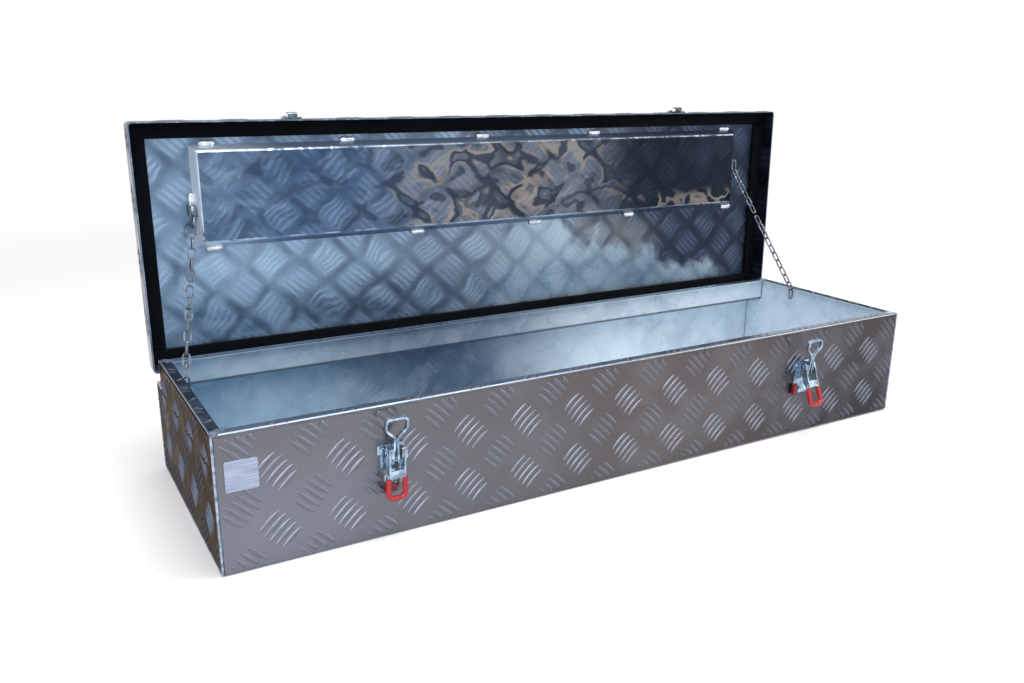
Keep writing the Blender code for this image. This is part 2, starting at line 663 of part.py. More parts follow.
def make_latch_base(side, frame, zinc):
    """Base plate with an ear at each side, and two cheeks that carry the handle."""
    ear = BASE_HALF_WIDTH + EAR_REACH
    left_top, left_bottom = BASE_HEIGHT, BASE_HEIGHT - EAR_HEIGHT
    right_top, right_bottom = BASE_HEIGHT - EAR_DROP, BASE_HEIGHT - EAR_DROP - EAR_HEIGHT
    outline = rounded_outline([
        (-BASE_HALF_WIDTH, 0.0), (BASE_HALF_WIDTH, 0.0),
        (BASE_HALF_WIDTH, right_bottom), (ear, right_bottom), (ear, right_top), (BASE_HALF_WIDTH, right_top),
        (BASE_HALF_WIDTH, BASE_HEIGHT), (-ear, left_top), (-ear, left_bottom), (-BASE_HALF_WIDTH, left_bottom),
    ], BASE_CORNER)
    face = -SEAM_GAP - LATCH_SHEET
    bm = bmesh.new()
    prism(bm, outline, "y", face, -SEAM_GAP)
    base = add_piece("latch_%s_base" % side, bm, zinc, frame)

    root = -SEAM_GAP - LATCH_SHEET / 2
    nose = PIVOT_STAND + CHEEK_NOSE
    throat = EYE_PIN_HEIGHT + EYE_COLLAR_RADIUS
    cheek = rounded_outline([
        (root, CHEEK_BOTTOM), (-CHEEK_REACH, CHEEK_BOTTOM), (-CHEEK_REACH, throat),
        (-nose, throat + EYE_COLLAR_RADIUS), (-nose, CHEEK_TOP), (root, CHEEK_TOP),
    ], BASE_CORNER)
    bm = bmesh.new()
    for sign in (-1, 1):
        inner, outer = sign * CHEEK_GAP_HALF, sign * (CHEEK_GAP_HALF + LATCH_SHEET)
        prism(bm, cheek, "x", min(inner, outer), max(inner, outer))
    cut_or_join(base, "latch_%s_cheeks" % side, bm, 'UNION')
    bm = bmesh.new()
    reach = CHEEK_GAP_HALF + LATCH_SHEET + CUT_OVERRUN
    hole = PIVOT_RADIUS + SEAM_GAP
    lathe(bm, [(-reach, hole), (reach, hole)], (-PIVOT_STAND, PIVOT_HEIGHT), PIN_SIDES)
    cut_or_join(base, "latch_%s_pivot_holes" % side, bm, 'DIFFERENCE')

    heights = {"upper": (left_top + left_bottom) / 2, "lower": (right_top + right_bottom) / 2}
    for sign, (level, height) in zip((-1, 1), heights.items()):
        bm = bmesh.new()
        rivet_head(bm, sign * (BASE_HALF_WIDTH - RIVET_RADIUS), face - SEAM_GAP, height)
        add_piece("latch_%s_rivet_%s" % (side, level), bm, zinc, frame)

    for sign, hand in ((-1, "left"), (1, "right")):
        inner = sign * CHEEK_GAP_HALF
        head = sign * (ARM_OUTER + SEAM_GAP)
        end = head + sign * PIVOT_HEAD
        bm = bmesh.new()
        lathe(bm, [(inner, PIVOT_RADIUS), (head, PIVOT_RADIUS), (head, PIVOT_HEAD_RADIUS),
                   (end - sign * SEAM_GAP, PIVOT_HEAD_RADIUS), (end, PIVOT_HEAD_RADIUS - SEAM_GAP)],
              (-PIVOT_STAND, PIVOT_HEIGHT), PIN_SIDES)
        add_piece("latch_%s_pivot_%s" % (side, hand), bm, zinc, frame)


def make_handle(side, turned, zinc, red):
    """Folded channel with a window for the eye, and a U of round bar dipped in red plastic."""
    head, long = ARM_HEAD_RADIUS, ARM_LENGTH
    front = SEAM_GAP - ARM_FRONT
    bm = bmesh.new()
    box(bm, (-ARM_MIDDLE, front, SEAM_GAP - long), (ARM_MIDDLE, front + ARM_SHEET, -WEB_DROP))
    handle = add_piece("latch_%s_handle" % side, bm, zinc, turned)
    arm = rounded_outline([
        (head, head), (-head, head), (-head, -ARM_SHOULDER), (-ARM_FRONT, -ARM_WAIST), (-ARM_FRONT, -long),
        (BAR_RADIUS - BAR_FORWARD, -long), (ARM_BACK, -ARM_HEEL), (head, -ARM_SHOULDER),
    ], ARM_CORNER)
    bm = bmesh.new()
    for sign in (-1, 1):
        prism(bm, arm, "x", min(sign * ARM_INNER, sign * ARM_OUTER), max(sign * ARM_INNER, sign * ARM_OUTER))
    cut_or_join(handle, "latch_%s_arms" % side, bm, 'UNION')
    bm = bmesh.new()
    reach = ARM_OUTER + CUT_OVERRUN
    lathe(bm, [(-reach, PIVOT_RADIUS + SEAM_GAP), (reach, PIVOT_RADIUS + SEAM_GAP)], (0.0, 0.0), PIN_SIDES)
    lathe(bm, [(-reach, EYE_PIN_RADIUS + SEAM_GAP), (reach, EYE_PIN_RADIUS + SEAM_GAP)],
          (EYE_PIN_SETBACK, -EYE_PIN_DROP), PIN_SIDES)
    cut_or_join(handle, "latch_%s_handle_holes" % side, bm, 'DIFFERENCE')

    bottom = GRIP_RADIUS - GRIP_BOTTOM
    grip_top = -long - SEAM_GAP

    def bar_path(top):
        flare = (GRIP_HALF_WIDTH - ARM_MIDDLE) / (bottom + WEB_DROP)
        wide = ARM_MIDDLE + flare * (top + WEB_DROP)
        corners = [(-wide, top), (-GRIP_HALF_WIDTH, bottom), (GRIP_HALF_WIDTH, bottom), (wide, top)]
        flat = fillet_path(corners, BAR_FOLD)
        return [Vector((x, -BAR_FORWARD, z)) for x, z in flat]

    bm = bmesh.new()
    tube(bm, bar_path(-(WEB_DROP + long) / 2), Vector((0, 1, 0)), BAR_RADIUS, BEAD_SIDES)
    cut_or_join(handle, "latch_%s_bar" % side, bm, 'UNION')
    bm = bmesh.new()
    tube(bm, bar_path(grip_top), Vector((0, 1, 0)), GRIP_RADIUS, BEAD_SIDES, bore=BAR_RADIUS + SEAM_GAP)
    add_piece("latch_%s_grip" % side, bm, red, turned)


def make_eye(side, leaning, zinc):
    """Flat strip bent to a loop, its two stems pinched together above the pin that they hang on."""
    half = [(-EYE_STEM_SPREAD, -EYE_STEM_OVERHANG), (-(EYE_STRIP + SEAM_GAP) / 2, EYE_PINCH_HEIGHT),
            (-EYE_LOOP_HALF_WIDTH, EYE_SHOULDER_HEIGHT), (-EYE_LOOP_HALF_WIDTH, EYE_HEIGHT)]
    points = half + mirror_outline(half)
    outline = strip_outline(points, list(EYE_FOLDS + EYE_FOLDS[::-1]), EYE_STRIP)
    bm = bmesh.new()
    prism(bm, outline, "y", -EYE_DEPTH / 2, EYE_DEPTH / 2)
    eye = add_piece("latch_%s_eye" % side, bm, zinc, leaning)
    bm = bmesh.new()
    hole = EYE_PIN_RADIUS + SEAM_GAP
    lathe(bm, [(-ARM_OUTER, hole), (ARM_OUTER, hole)], (0.0, 0.0), PIN_SIDES)
    cut_or_join(eye, "latch_%s_eye_hole" % side, bm, 'DIFFERENCE')

    bm = bmesh.new()
    collar_in = EYE_STEM_SPREAD + EYE_STRIP / 2 + SEAM_GAP
    collar_out = ARM_INNER - SEAM_GAP
    end = ARM_OUTER
    profile = [(-end, EYE_PIN_RADIUS), (-collar_out, EYE_PIN_RADIUS), (-collar_out, EYE_COLLAR_RADIUS),
               (-collar_in, EYE_COLLAR_RADIUS), (-collar_in, EYE_PIN_RADIUS)]
    profile += [(-x, radius) for x, radius in reversed(profile)]
    lathe(bm, profile, (0.0, 0.0), PIN_SIDES)
    add_piece("latch_%s_eye_pin" % side, bm, zinc, leaning)


def make_catch(side, swung, zinc, dark_red):
    """Small T-shaped safety catch under the handle, with a dipped tip."""
    stem, bar = CATCH_STEM_WIDTH / 2, CATCH_BAR_WIDTH / 2
    bar_top = CATCH_BAR_HEIGHT - CATCH_LENGTH
    back = -SEAM_GAP
    outline = rounded_outline([
        (-stem, stem), (-stem, bar_top), (-bar, bar_top), (-bar, -CATCH_LENGTH),
        (bar, -CATCH_LENGTH), (bar, bar_top), (stem, bar_top), (stem, stem),
    ], CATCH_SHEET / 2)
    bm = bmesh.new()
    prism(bm, outline, "y", back - CATCH_SHEET, back)
    add_piece("latch_%s_catch" % side, bm, zinc, swung)
    bm = bmesh.new()
    rivet_head(bm, 0.0, back - CATCH_SHEET - SEAM_GAP, 0.0)
    add_piece("latch_%s_catch_rivet" % side, bm, zinc, swung)
    top = -CATCH_LENGTH - SEAM_GAP
    outline = rounded_outline(rectangle(-bar, top - CATCH_TIP_HEIGHT, bar, top), CATCH_TIP_CORNER)
    bm = bmesh.new()
    prism(bm, outline, "y", back - CATCH_TIP_DEPTH, back)
    add_piece("latch_%s_catch_tip" % side, bm, dark_red, swung)


def make_latch(side, zinc, red, dark_red):
    """One draw latch, posed as it stands at rest."""
    frame = frame_at("latch_%s_frame" % side, (LATCH_X[side], FRONT_Y, BASE_FOOT_Z))
    opening = HANDLE_REST_OPENING[side]
    pivot = Vector((0.0, -PIVOT_STAND, PIVOT_HEIGHT))
    turned = frame_at("latch_%s_handle_pivot" % side, pivot, (-opening, 0.0, 0.0), frame)
    pin = pivot + Matrix.Rotation(-opening, 3, 'X') @ Vector((0.0, EYE_PIN_SETBACK, -EYE_PIN_DROP))
    leaning = frame_at("latch_%s_eye_pivot" % side, pin, (EYE_REST_LEAN, 0.0, 0.0), frame)
    catch_seat = (CATCH_SIDE, -SEAM_GAP - LATCH_SHEET, CATCH_HEIGHT)
    swung = frame_at("latch_%s_catch_pivot" % side, catch_seat, (0.0, CATCH_REST_SWING[side], 0.0), frame)
    make_latch_base(side, frame, zinc)
    make_handle(side, turned, zinc, red)
    make_eye(side, leaning, zinc)
    make_catch(side, swung, zinc, dark_red)


def make_keeper(side, hinge, zinc):
    """A plate with a folded hook, whose seat lies just under the latch eye when the lid is down."""
    seat = SEAT_Z - HINGE_Z
    middle = LID_TOP - LID_SKIRT / 2
    face = -SEAM_GAP - LATCH_SHEET
    front_gap = FRONT_Y - HINGE_Y - LID_FRONT
    lip = EYE_PIN_STAND + EYE_DEPTH / 2 + SEAM_GAP - front_gap + HOOK_SHEET / 2
    frame = frame_at("keeper_%s_frame" % side, (LATCH_X[side] + KEEPER_SHIFT, LID_FRONT, 0.0), parent=hinge)
    bm = bmesh.new()
    plate = rounded_outline(rectangle(-KEEPER_WIDTH / 2, middle - KEEPER_HEIGHT / 2,
                                      KEEPER_WIDTH / 2, middle + KEEPER_HEIGHT / 2), BASE_CORNER)
    prism(bm, plate, "y", face, -SEAM_GAP)
    keeper = add_piece("keeper_" + side, bm, zinc, frame)
    shelf = seat - HOOK_SHEET / 2
    hook = [(face / 2, shelf), (-lip, shelf), (-lip, seat + HOOK_LIP)]
    outline = strip_outline(hook, HOOK_FOLD, HOOK_SHEET)
    bm = bmesh.new()
    prism(bm, outline, "x", -HOOK_WIDTH / 2, HOOK_WIDTH / 2)
    cut_or_join(keeper, "keeper_%s_hook" % side, bm, 'UNION')
    bm = bmesh.new()
    box(bm, (-HOOK_NOTCH / 2, -lip - CUT_OVERRUN, seat + HOOK_FOLD),
        (HOOK_NOTCH / 2, HOOK_SHEET - lip, seat + HOOK_LIP + CUT_OVERRUN))
    cut_or_join(keeper, "keeper_%s_notch" % side, bm, 'DIFFERENCE')
    rivet_z = middle + KEEPER_HEIGHT / 2 - 2 * RIVET_RADIUS
    for sign, hand in ((-1, "left"), (1, "right")):
        bm = bmesh.new()
        rivet_head(bm, sign * KEEPER_RIVET_SIDE, face - SEAM_GAP, rivet_z)
        add_piece("keeper_%s_rivet_%s" % (side, hand), bm, zinc, frame)


def build():
    clear_scene()
    tread_plate = material("tread_plate", (0.42, 0.41, 0.40), 0.38, 0.85)
    lid_plate = material("lid_plate", (0.44, 0.49, 0.56), 0.32, 0.85)
    weld = material("aluminium_weld", (0.72, 0.74, 0.78), 0.35, 0.9)
    steel = material("hinge_steel", (0.55, 0.60, 0.66), 0.32, 0.9)
    zinc = material("zinc_plate", (0.52, 0.60, 0.68), 0.25, 0.9)
    foam = material("seal_foam", (0.010, 0.011, 0.014), 0.85, 0.0)
    red = material("grip_red", (0.62, 0.015, 0.02), 0.35, 0.0)
    dark_red = material("tip_red", (0.24, 0.008, 0.02), 0.45, 0.0)

    open_turn = -LID_OPEN_ANGLE
    hinge = frame_at("lid_hinge", (0.0, HINGE_Y, HINGE_Z), (open_turn, 0.0, 0.0))
    make_body_wrap(tread_plate)
    make_hinge(hinge, steel)
    make_lid_skin(hinge, lid_plate)
    make_seal(hinge, foam)
    make_pan(hinge, lid_plate)
    for side, sign in (("left", -1), ("right", 1)):
        make_end_panel(side, sign, tread_plate)
        make_corner_weld(side, sign, weld)
        make_chain(side, sign, Matrix.Rotation(open_turn, 3, 'X'), hinge, zinc)
        make_latch(side, zinc, red, dark_red)
        make_keeper(side, hinge, zinc)


build()
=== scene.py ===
import math

import bmesh
import bpy
from mathutils import Matrix, Vector


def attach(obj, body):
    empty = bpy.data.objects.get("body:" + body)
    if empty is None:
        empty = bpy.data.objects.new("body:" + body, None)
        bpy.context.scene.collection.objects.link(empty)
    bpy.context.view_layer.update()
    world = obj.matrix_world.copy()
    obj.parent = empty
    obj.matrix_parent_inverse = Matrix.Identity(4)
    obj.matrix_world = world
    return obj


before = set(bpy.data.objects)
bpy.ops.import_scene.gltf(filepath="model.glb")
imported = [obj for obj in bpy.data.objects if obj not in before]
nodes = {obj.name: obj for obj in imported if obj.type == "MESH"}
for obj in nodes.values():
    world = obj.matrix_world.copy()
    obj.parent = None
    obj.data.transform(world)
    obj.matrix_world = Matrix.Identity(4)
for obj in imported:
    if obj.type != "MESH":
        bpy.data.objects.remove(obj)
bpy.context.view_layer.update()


# The box body: one sheet of aluminium tread plate, folded up into the front, floor,
# back and ledge, with an end panel welded in at each end and a flange turned in round
# the rim. The rolled side faces out, and its marks show through faintly inside.
BOX_HALF_LENGTH = 0.5
FRONT_FACE_Y = -0.155
BACK_FACE_Y = 0.155
BAND_FACE_Y = 0.122
LEDGE_FACE_Z = 0.117
RIM_TOP_Z = 0.153
SHEET = 0.002
FLANGE_WIDTH = 0.0125
GROUP_PITCH_ACROSS = 0.0734
GROUP_PITCH_UP = 0.0647
GROUP_START = (-0.438, 0.038)
BAR_PITCH = 0.0081
BAR_HALF_LENGTH = 0.0165
BAR_HALF_WIDTH = 0.0029
BAR_HEIGHT = 0.0008
BAR_LEAN = math.radians(43)
MARK_EDGE = (-0.0011, 0.0022)
PATCH_ROUNDING = 0.012
PATCH_EDGE = (0.012, 0.027)
RIM_EDGE = 0.0014
BACK_BEND = 0.0036
MILL_BUMP = 0.00018


def tone(red, green, blue):
    """A colour as it should look on screen, from 0 to 255, made ready for a shader."""
    shares = [c / 255 for c in (red, green, blue)]
    return (*[c / 12.92 if c < 0.04045 else ((c + 0.055) / 1.055) ** 2.4 for c in shares], 1.0)


def feed(tree, socket, value):
    """Links a node's output to a socket, or sets the socket to a plain value."""
    if isinstance(value, bpy.types.NodeSocket):
        tree.links.new(value, socket)
    else:
        socket.default_value = value


def reckon(tree, step, *values):
    """One line of arithmetic in a finish."""
    node = tree.nodes.new("ShaderNodeMath")
    node.operation = step
    for socket, value in zip(node.inputs, values):
        feed(tree, socket, value)
    return node.outputs[0]


def between(tree, value, low, high, first=0.0, last=1.0):
    """Takes a value from low..high to first..last, easing at both ends."""
    node = tree.nodes.new("ShaderNodeMapRange")
    node.interpolation_type = 'SMOOTHSTEP'
    for socket, given in zip(node.inputs, (value, low, high, first, last)):
        feed(tree, socket, given)
    return node.outputs[0]


def tint(tree, share, first, second):
    """Mixes the second colour into the first."""
    node = tree.nodes.new("ShaderNodeMix")
    node.data_type = 'RGBA'
    for number, value in ((0, share), (6, first), (7, second)):
        feed(tree, node.inputs[number], value)
    return node.outputs[2]


def mottle(tree, where, scale, detail=3.0, stretch=(1.0, 1.0, 1.0), warp=0.0):
    """Soft cloudy noise over the piece, scale blobs to the metre."""
    mapping = tree.nodes.new("ShaderNodeMapping")
    mapping.inputs["Scale"].default_value = stretch
    feed(tree, mapping.inputs["Vector"], where)
    noise = tree.nodes.new("ShaderNodeTexNoise")
    noise.inputs["Scale"].default_value = scale
    noise.inputs["Detail"].default_value = detail
    noise.inputs["Distortion"].default_value = warp
    feed(tree, noise.inputs["Vector"], mapping.outputs[0])
    return noise.outputs[0]


def new_group(name, inputs, outputs):
    """An empty node group with named inputs and outputs."""
    made = bpy.data.node_groups.new(name, "ShaderNodeTree")
    for label, kind in inputs:
        made.interface.new_socket(label, in_out='INPUT', socket_type="NodeSocket" + kind)
    for label, kind in outputs:
        made.interface.new_socket(label, in_out='OUTPUT', socket_type="NodeSocket" + kind)
    return made, made.nodes.new("NodeGroupInput").outputs, made.nodes.new("NodeGroupOutput").inputs


def use_group(tree, made, **values):
    """Places a group in a finish, with a value or a link for each input."""
    node = tree.nodes.new("ShaderNodeGroup")
    node.node_tree = made
    for label, value in values.items():
        feed(tree, node.inputs[label.replace("_", " ")], value)
    return node.outputs


# How sets of five rolled bars lie on the sheet: a mask of the bars, and a soft patch
# round each set.
bar_marks, given, put_out = new_group(
    "bar_marks",
    [(label, "Float") for label in ("Across", "Up", "Across Start", "Up Start", "Lean")],
    [("Bar", "Float"), ("Patch", "Float")])
offsets = []
for axis, pitch in (("Across", GROUP_PITCH_ACROSS), ("Up", GROUP_PITCH_UP)):
    step = reckon(bar_marks, 'SUBTRACT', given[axis], given[axis + " Start"])
    step = reckon(bar_marks, 'ADD', reckon(bar_marks, 'DIVIDE', step, pitch), 0.5)
    step = reckon(bar_marks, 'SUBTRACT', reckon(bar_marks, 'FRACT', step), 0.5)
    offsets.append(reckon(bar_marks, 'MULTIPLY', step, pitch))
cosine = reckon(bar_marks, 'COSINE', given["Lean"])
sine = reckon(bar_marks, 'SINE', given["Lean"])
along = reckon(bar_marks, 'ADD', reckon(bar_marks, 'MULTIPLY', offsets[0], cosine),
               reckon(bar_marks, 'MULTIPLY', offsets[1], sine))
beside = reckon(bar_marks, 'SUBTRACT', reckon(bar_marks, 'MULTIPLY', offsets[1], cosine),
                reckon(bar_marks, 'MULTIPLY', offsets[0], sine))
step = reckon(bar_marks, 'ADD', reckon(bar_marks, 'DIVIDE', beside, BAR_PITCH), 0.5)
from_bar = reckon(bar_marks, 'MULTIPLY',
                  reckon(bar_marks, 'SUBTRACT', reckon(bar_marks, 'FRACT', step), 0.5), BAR_PITCH)
share = reckon(bar_marks, 'DIVIDE', along, BAR_HALF_LENGTH)
taper = reckon(bar_marks, 'SQRT', reckon(bar_marks, 'MAXIMUM', reckon(
    bar_marks, 'SUBTRACT', 1.0, reckon(bar_marks, 'MULTIPLY', share, share)), 0.0))
inset = reckon(bar_marks, 'SUBTRACT', reckon(bar_marks, 'MULTIPLY', taper, BAR_HALF_WIDTH),
               reckon(bar_marks, 'ABSOLUTE', from_bar))
bar = between(bar_marks, inset, *MARK_EDGE)
five = reckon(bar_marks, 'LESS_THAN', reckon(bar_marks, 'ABSOLUTE', beside), 2.5 * BAR_PITCH)
bar = reckon(bar_marks, 'MULTIPLY', bar, five)
bar = reckon(bar_marks, 'MULTIPLY', bar, between(bar_marks, taper, 0.05, 0.45))
spread = reckon(bar_marks, 'SMOOTH_MAX', reckon(bar_marks, 'ABSOLUTE', along), reckon(
    bar_marks, 'ABSOLUTE', beside), PATCH_ROUNDING)
feed(bar_marks, put_out["Bar"], bar)
feed(bar_marks, put_out["Patch"], between(bar_marks, spread, *PATCH_EDGE, 1.0, 0.0))

# The rolled side's tone, with painted light and shade: a cool grey at the left going to a dark one at the
# right, and a warm grey mixed in towards the top.
plate_tone_and_shade, given, put_out = new_group(
    "plate_tone_and_shade", [("Along", "Float"), ("Up", "Float")], [("Colour", "Color")])
colour = tint(plate_tone_and_shade, between(plate_tone_and_shade, given["Along"], -0.44, 0.05),
              tone(113, 117, 128), tone(90, 86, 87))
colour = tint(plate_tone_and_shade, between(plate_tone_and_shade, given["Along"], 0.05, 0.50), colour, tone(44, 43, 49))
feed(plate_tone_and_shade, put_out["Colour"], tint(
    plate_tone_and_shade, between(plate_tone_and_shade, given["Up"], 0.03, 0.15, 0.0, 0.35), colour, tone(88, 81, 79)))

# Mill-finished sheet: cloudy handling marks, rolling streaks that only its gloss shows, and the ghosts of
# the rolled bars as they show through the plain side. The ghosts are real marks, shown with a painted
# highlight over the bars and painted shade between the sets.
mill_sheet, given, put_out = new_group(
    "mill_sheet",
    [("Where", "Vector"), ("Across", "Float"), ("Up", "Float"), ("Across Start", "Float"),
     ("Up Start", "Float"), ("Middle Colour", "Color"), ("Bright Colour", "Color"),
     ("Dark Colour", "Color"), ("Ghosts", "Float"), ("Clouds", "Float")],
    [("Colour", "Color"), ("Roughness", "Float"), ("Height", "Float")])
wander = between(mill_sheet, mottle(mill_sheet, given["Where"], 17.0, 2.0), 0.2, 0.8, -0.006, 0.006)
across = reckon(mill_sheet, 'ADD', given["Across"], wander)
up = reckon(mill_sheet, 'SUBTRACT', given["Up"], wander)
rising = use_group(mill_sheet, bar_marks, Across=across, Up=up,
                   Across_Start=given["Across Start"], Up_Start=given["Up Start"], Lean=BAR_LEAN)
falling = use_group(
    mill_sheet, bar_marks, Across=across, Up=up, Lean=-BAR_LEAN,
    Across_Start=reckon(mill_sheet, 'ADD', given["Across Start"], GROUP_PITCH_ACROSS / 2),
    Up_Start=reckon(mill_sheet, 'ADD', given["Up Start"], GROUP_PITCH_UP / 2))
patches = reckon(mill_sheet, 'ADD', rising["Patch"], reckon(mill_sheet, 'MULTIPLY', falling["Patch"], 0.75))
lit = reckon(mill_sheet, 'ADD', reckon(mill_sheet, 'MULTIPLY', rising["Bar"], 0.58),
             reckon(mill_sheet, 'MULTIPLY', falling["Bar"], 0.46))
lit = reckon(mill_sheet, 'ADD', lit, reckon(mill_sheet, 'MULTIPLY', patches, 0.10))
broken = between(mill_sheet, mottle(mill_sheet, given["Where"], 26.0, 2.0, warp=0.4), 0.30, 0.62, 0.35, 1.0)
lit = reckon(mill_sheet, 'MULTIPLY', reckon(mill_sheet, 'MULTIPLY', lit, broken), given["Ghosts"])
gaps = reckon(mill_sheet, 'MULTIPLY', reckon(mill_sheet, 'MAXIMUM', reckon(
    mill_sheet, 'SUBTRACT', 0.75, patches), 0.0), reckon(mill_sheet, 'MULTIPLY', broken, given["Ghosts"]))
colour = tint(mill_sheet, gaps, given["Middle Colour"], given["Dark Colour"])
colour = tint(mill_sheet, lit, colour, given["Bright Colour"])
wide = mottle(mill_sheet, given["Where"], 5.0, 3.0, warp=0.2)
smears = mottle(mill_sheet, given["Where"], 30.0, 3.0)
rolled = mottle(mill_sheet, given["Where"], 40.0, 2.0, stretch=(0.12, 9.0, 9.0))
cloud = reckon(mill_sheet, 'ADD', between(mill_sheet, wide, 0.25, 0.75, -0.7, 0.7),
               between(mill_sheet, smears, 0.22, 0.78, -0.40, 0.40))
cloud = reckon(mill_sheet, 'MULTIPLY', cloud, given["Clouds"])
colour = tint(mill_sheet, reckon(mill_sheet, 'MAXIMUM', cloud, 0.0), colour, given["Bright Colour"])
colour = tint(mill_sheet, reckon(mill_sheet, 'MAXIMUM', reckon(mill_sheet, 'MULTIPLY', cloud, -1.0), 0.0),
              colour, given["Dark Colour"])
feed(mill_sheet, put_out["Colour"], colour)
feed(mill_sheet, put_out["Roughness"], reckon(
    mill_sheet, 'ADD', between(mill_sheet, smears, 0.3, 0.7, 0.20, 0.40),
    between(mill_sheet, rolled, 0.2, 0.8, -0.02, 0.02)))
ghost_height = reckon(mill_sheet, 'ADD', reckon(mill_sheet, 'MULTIPLY', rising["Bar"], 0.7),
                      reckon(mill_sheet, 'MULTIPLY', falling["Bar"], 0.5))
feed(mill_sheet, put_out["Height"], reckon(
    mill_sheet, 'ADD', reckon(mill_sheet, 'MULTIPLY', ghost_height, given["Ghosts"]),
    reckon(mill_sheet, 'MULTIPLY', smears, 0.8)))


def new_finish(name, metallic, roughness=0.35):
    """A material with its Principled shader and the piece's own coordinates, ready to wire."""
    made = bpy.data.materials.new(name)
    made.use_nodes = True
    tree = made.node_tree
    shader = tree.nodes["Principled BSDF"].inputs
    shader["Metallic"].default_value = metallic
    shader["Roughness"].default_value = roughness
    where = tree.nodes.new("ShaderNodeTexCoord").outputs["Object"]
    split = tree.nodes.new("ShaderNodeSeparateXYZ")
    tree.links.new(where, split.inputs[0])
    return made, tree, shader, where, split.outputs


def emboss(tree, shader, height, depth):
    """Turns a height into the surface's bumps, depth metres at most."""
    bump = tree.nodes.new("ShaderNodeBump")
    bump.inputs["Distance"].default_value = depth
    feed(tree, bump.inputs["Height"], height)
    tree.links.new(bump.outputs[0], shader["Normal"])


def all_of(tree, *tests):
    """1 where every test or mask is 1, and less where one of them falls off."""
    held = tests[0]
    for test in tests[1:]:
        held = reckon(tree, 'MULTIPLY', held, test)
    return held


def dress(names, finish):
    """Gives CAD nodes a finish."""
    for name in names:
        for place in nodes[name].material_slots:
            place.material = finish


# The inside is what lies between the sheet's middle planes. Above the ledge, that space
# ends at the band instead of the back wall.
body_finish, tree, shader, where, axis = new_finish("tread_plate_body", 0.86)
over_ledge = reckon(tree, 'GREATER_THAN', axis["Z"], LEDGE_FACE_Z - SHEET / 2)
inside = all_of(
    tree,
    reckon(tree, 'GREATER_THAN', axis["Y"], FRONT_FACE_Y + SHEET / 2),
    reckon(tree, 'GREATER_THAN', axis["Z"], SHEET / 2),
    reckon(tree, 'LESS_THAN', axis["Z"], RIM_TOP_Z - SHEET / 2),
    reckon(tree, 'LESS_THAN', reckon(tree, 'ADD', axis["Y"], reckon(
        tree, 'MULTIPLY', over_ledge, BACK_FACE_Y - BAND_FACE_Y)), BACK_FACE_Y - SHEET / 2))
developed = reckon(tree, 'ADD', axis["Y"], axis["Z"])
outer = use_group(tree, plate_tone_and_shade, Along=axis["X"], Up=axis["Z"])["Colour"]
# Painted light and shade inside: pale blue at the left, darker blue in the middle, near white at the right,
# and lighter on the band above the ledge.
inner = tint(tree, between(tree, axis["X"], -0.38, -0.10), tone(160, 187, 207), tone(94, 115, 141))
inner = tint(tree, between(tree, axis["X"], -0.06, 0.20), inner, tone(226, 238, 246))
inner = tint(tree, reckon(tree, 'MULTIPLY', 0.22, over_ledge), inner, tone(240, 248, 252))
# Painted highlight: the top of the rim is lighter and cooler than the walls.
rim_top_highlight = reckon(tree, 'GREATER_THAN', axis["Z"], RIM_TOP_Z - RIM_EDGE)
outer = tint(tree, rim_top_highlight, outer, tone(112, 124, 142))
sheet = use_group(
    tree, mill_sheet, Where=where, Across=axis["X"], Up=developed,
    Across_Start=GROUP_START[0], Up_Start=GROUP_START[1] + FRONT_FACE_Y,
    Middle_Colour=tint(tree, inside, outer, inner),
    Bright_Colour=tint(tree, inside, tone(138, 140, 152), tone(222, 234, 242)),
    Dark_Colour=tint(tree, inside, tone(70, 62, 60), tone(104, 128, 154)),
    Ghosts=reckon(tree, 'MULTIPLY', inside, 0.22),
    Clouds=between(tree, inside, 0.0, 1.0, 0.24, 0.36))
# A painted shadow under the bend at the foot of the band draws a thin dark line across the inside.
painted_crease_shadow = all_of(
    tree,
    reckon(tree, 'GREATER_THAN', axis["Y"], BAND_FACE_Y - FLANGE_WIDTH),
    reckon(tree, 'LESS_THAN', axis["Y"], BAND_FACE_Y - SHEET / 10),
    reckon(tree, 'GREATER_THAN', axis["Z"], LEDGE_FACE_Z - SHEET),
    between(tree, axis["Z"], LEDGE_FACE_Z + BACK_BEND / 2, LEDGE_FACE_Z + BACK_BEND, 0.9, 0.0))
feed(tree, shader["Base Color"], tint(tree, painted_crease_shadow, sheet["Colour"], tone(62, 74, 88)))
feed(tree, shader["Metallic"], between(tree, inside, 0.0, 1.0, 0.86, 0.2))
feed(tree, shader["Roughness"], sheet["Roughness"])
emboss(tree, shader, sheet["Height"], MILL_BUMP)
dress(["body_wrap"], body_finish)


# The two end panels: the same tread plate, each with its own flange turned in at the top. They face away
# from the light, so their outer tone is painted shade, a dark brown going darker towards the top, and their
# brown Specular Tint is a painted reflection tint at a glancing angle.
end_finish, tree, shader, where, axis = new_finish("tread_plate_ends", 0.86)
inside = all_of(
    tree,
    reckon(tree, 'LESS_THAN', reckon(tree, 'ABSOLUTE', axis["X"]), BOX_HALF_LENGTH - SHEET / 2),
    reckon(tree, 'LESS_THAN', axis["Z"], RIM_TOP_Z - SHEET / 2))
outer = tint(tree, between(tree, axis["Z"], 0.0, 0.14), tone(104, 99, 92), tone(88, 82, 73))
# Painted highlight: the top of the rim is lighter and cooler than the panel.
rim_top_highlight = reckon(tree, 'GREATER_THAN', axis["Z"], RIM_TOP_Z - RIM_EDGE)
outer = tint(tree, rim_top_highlight, outer, tone(104, 116, 134))
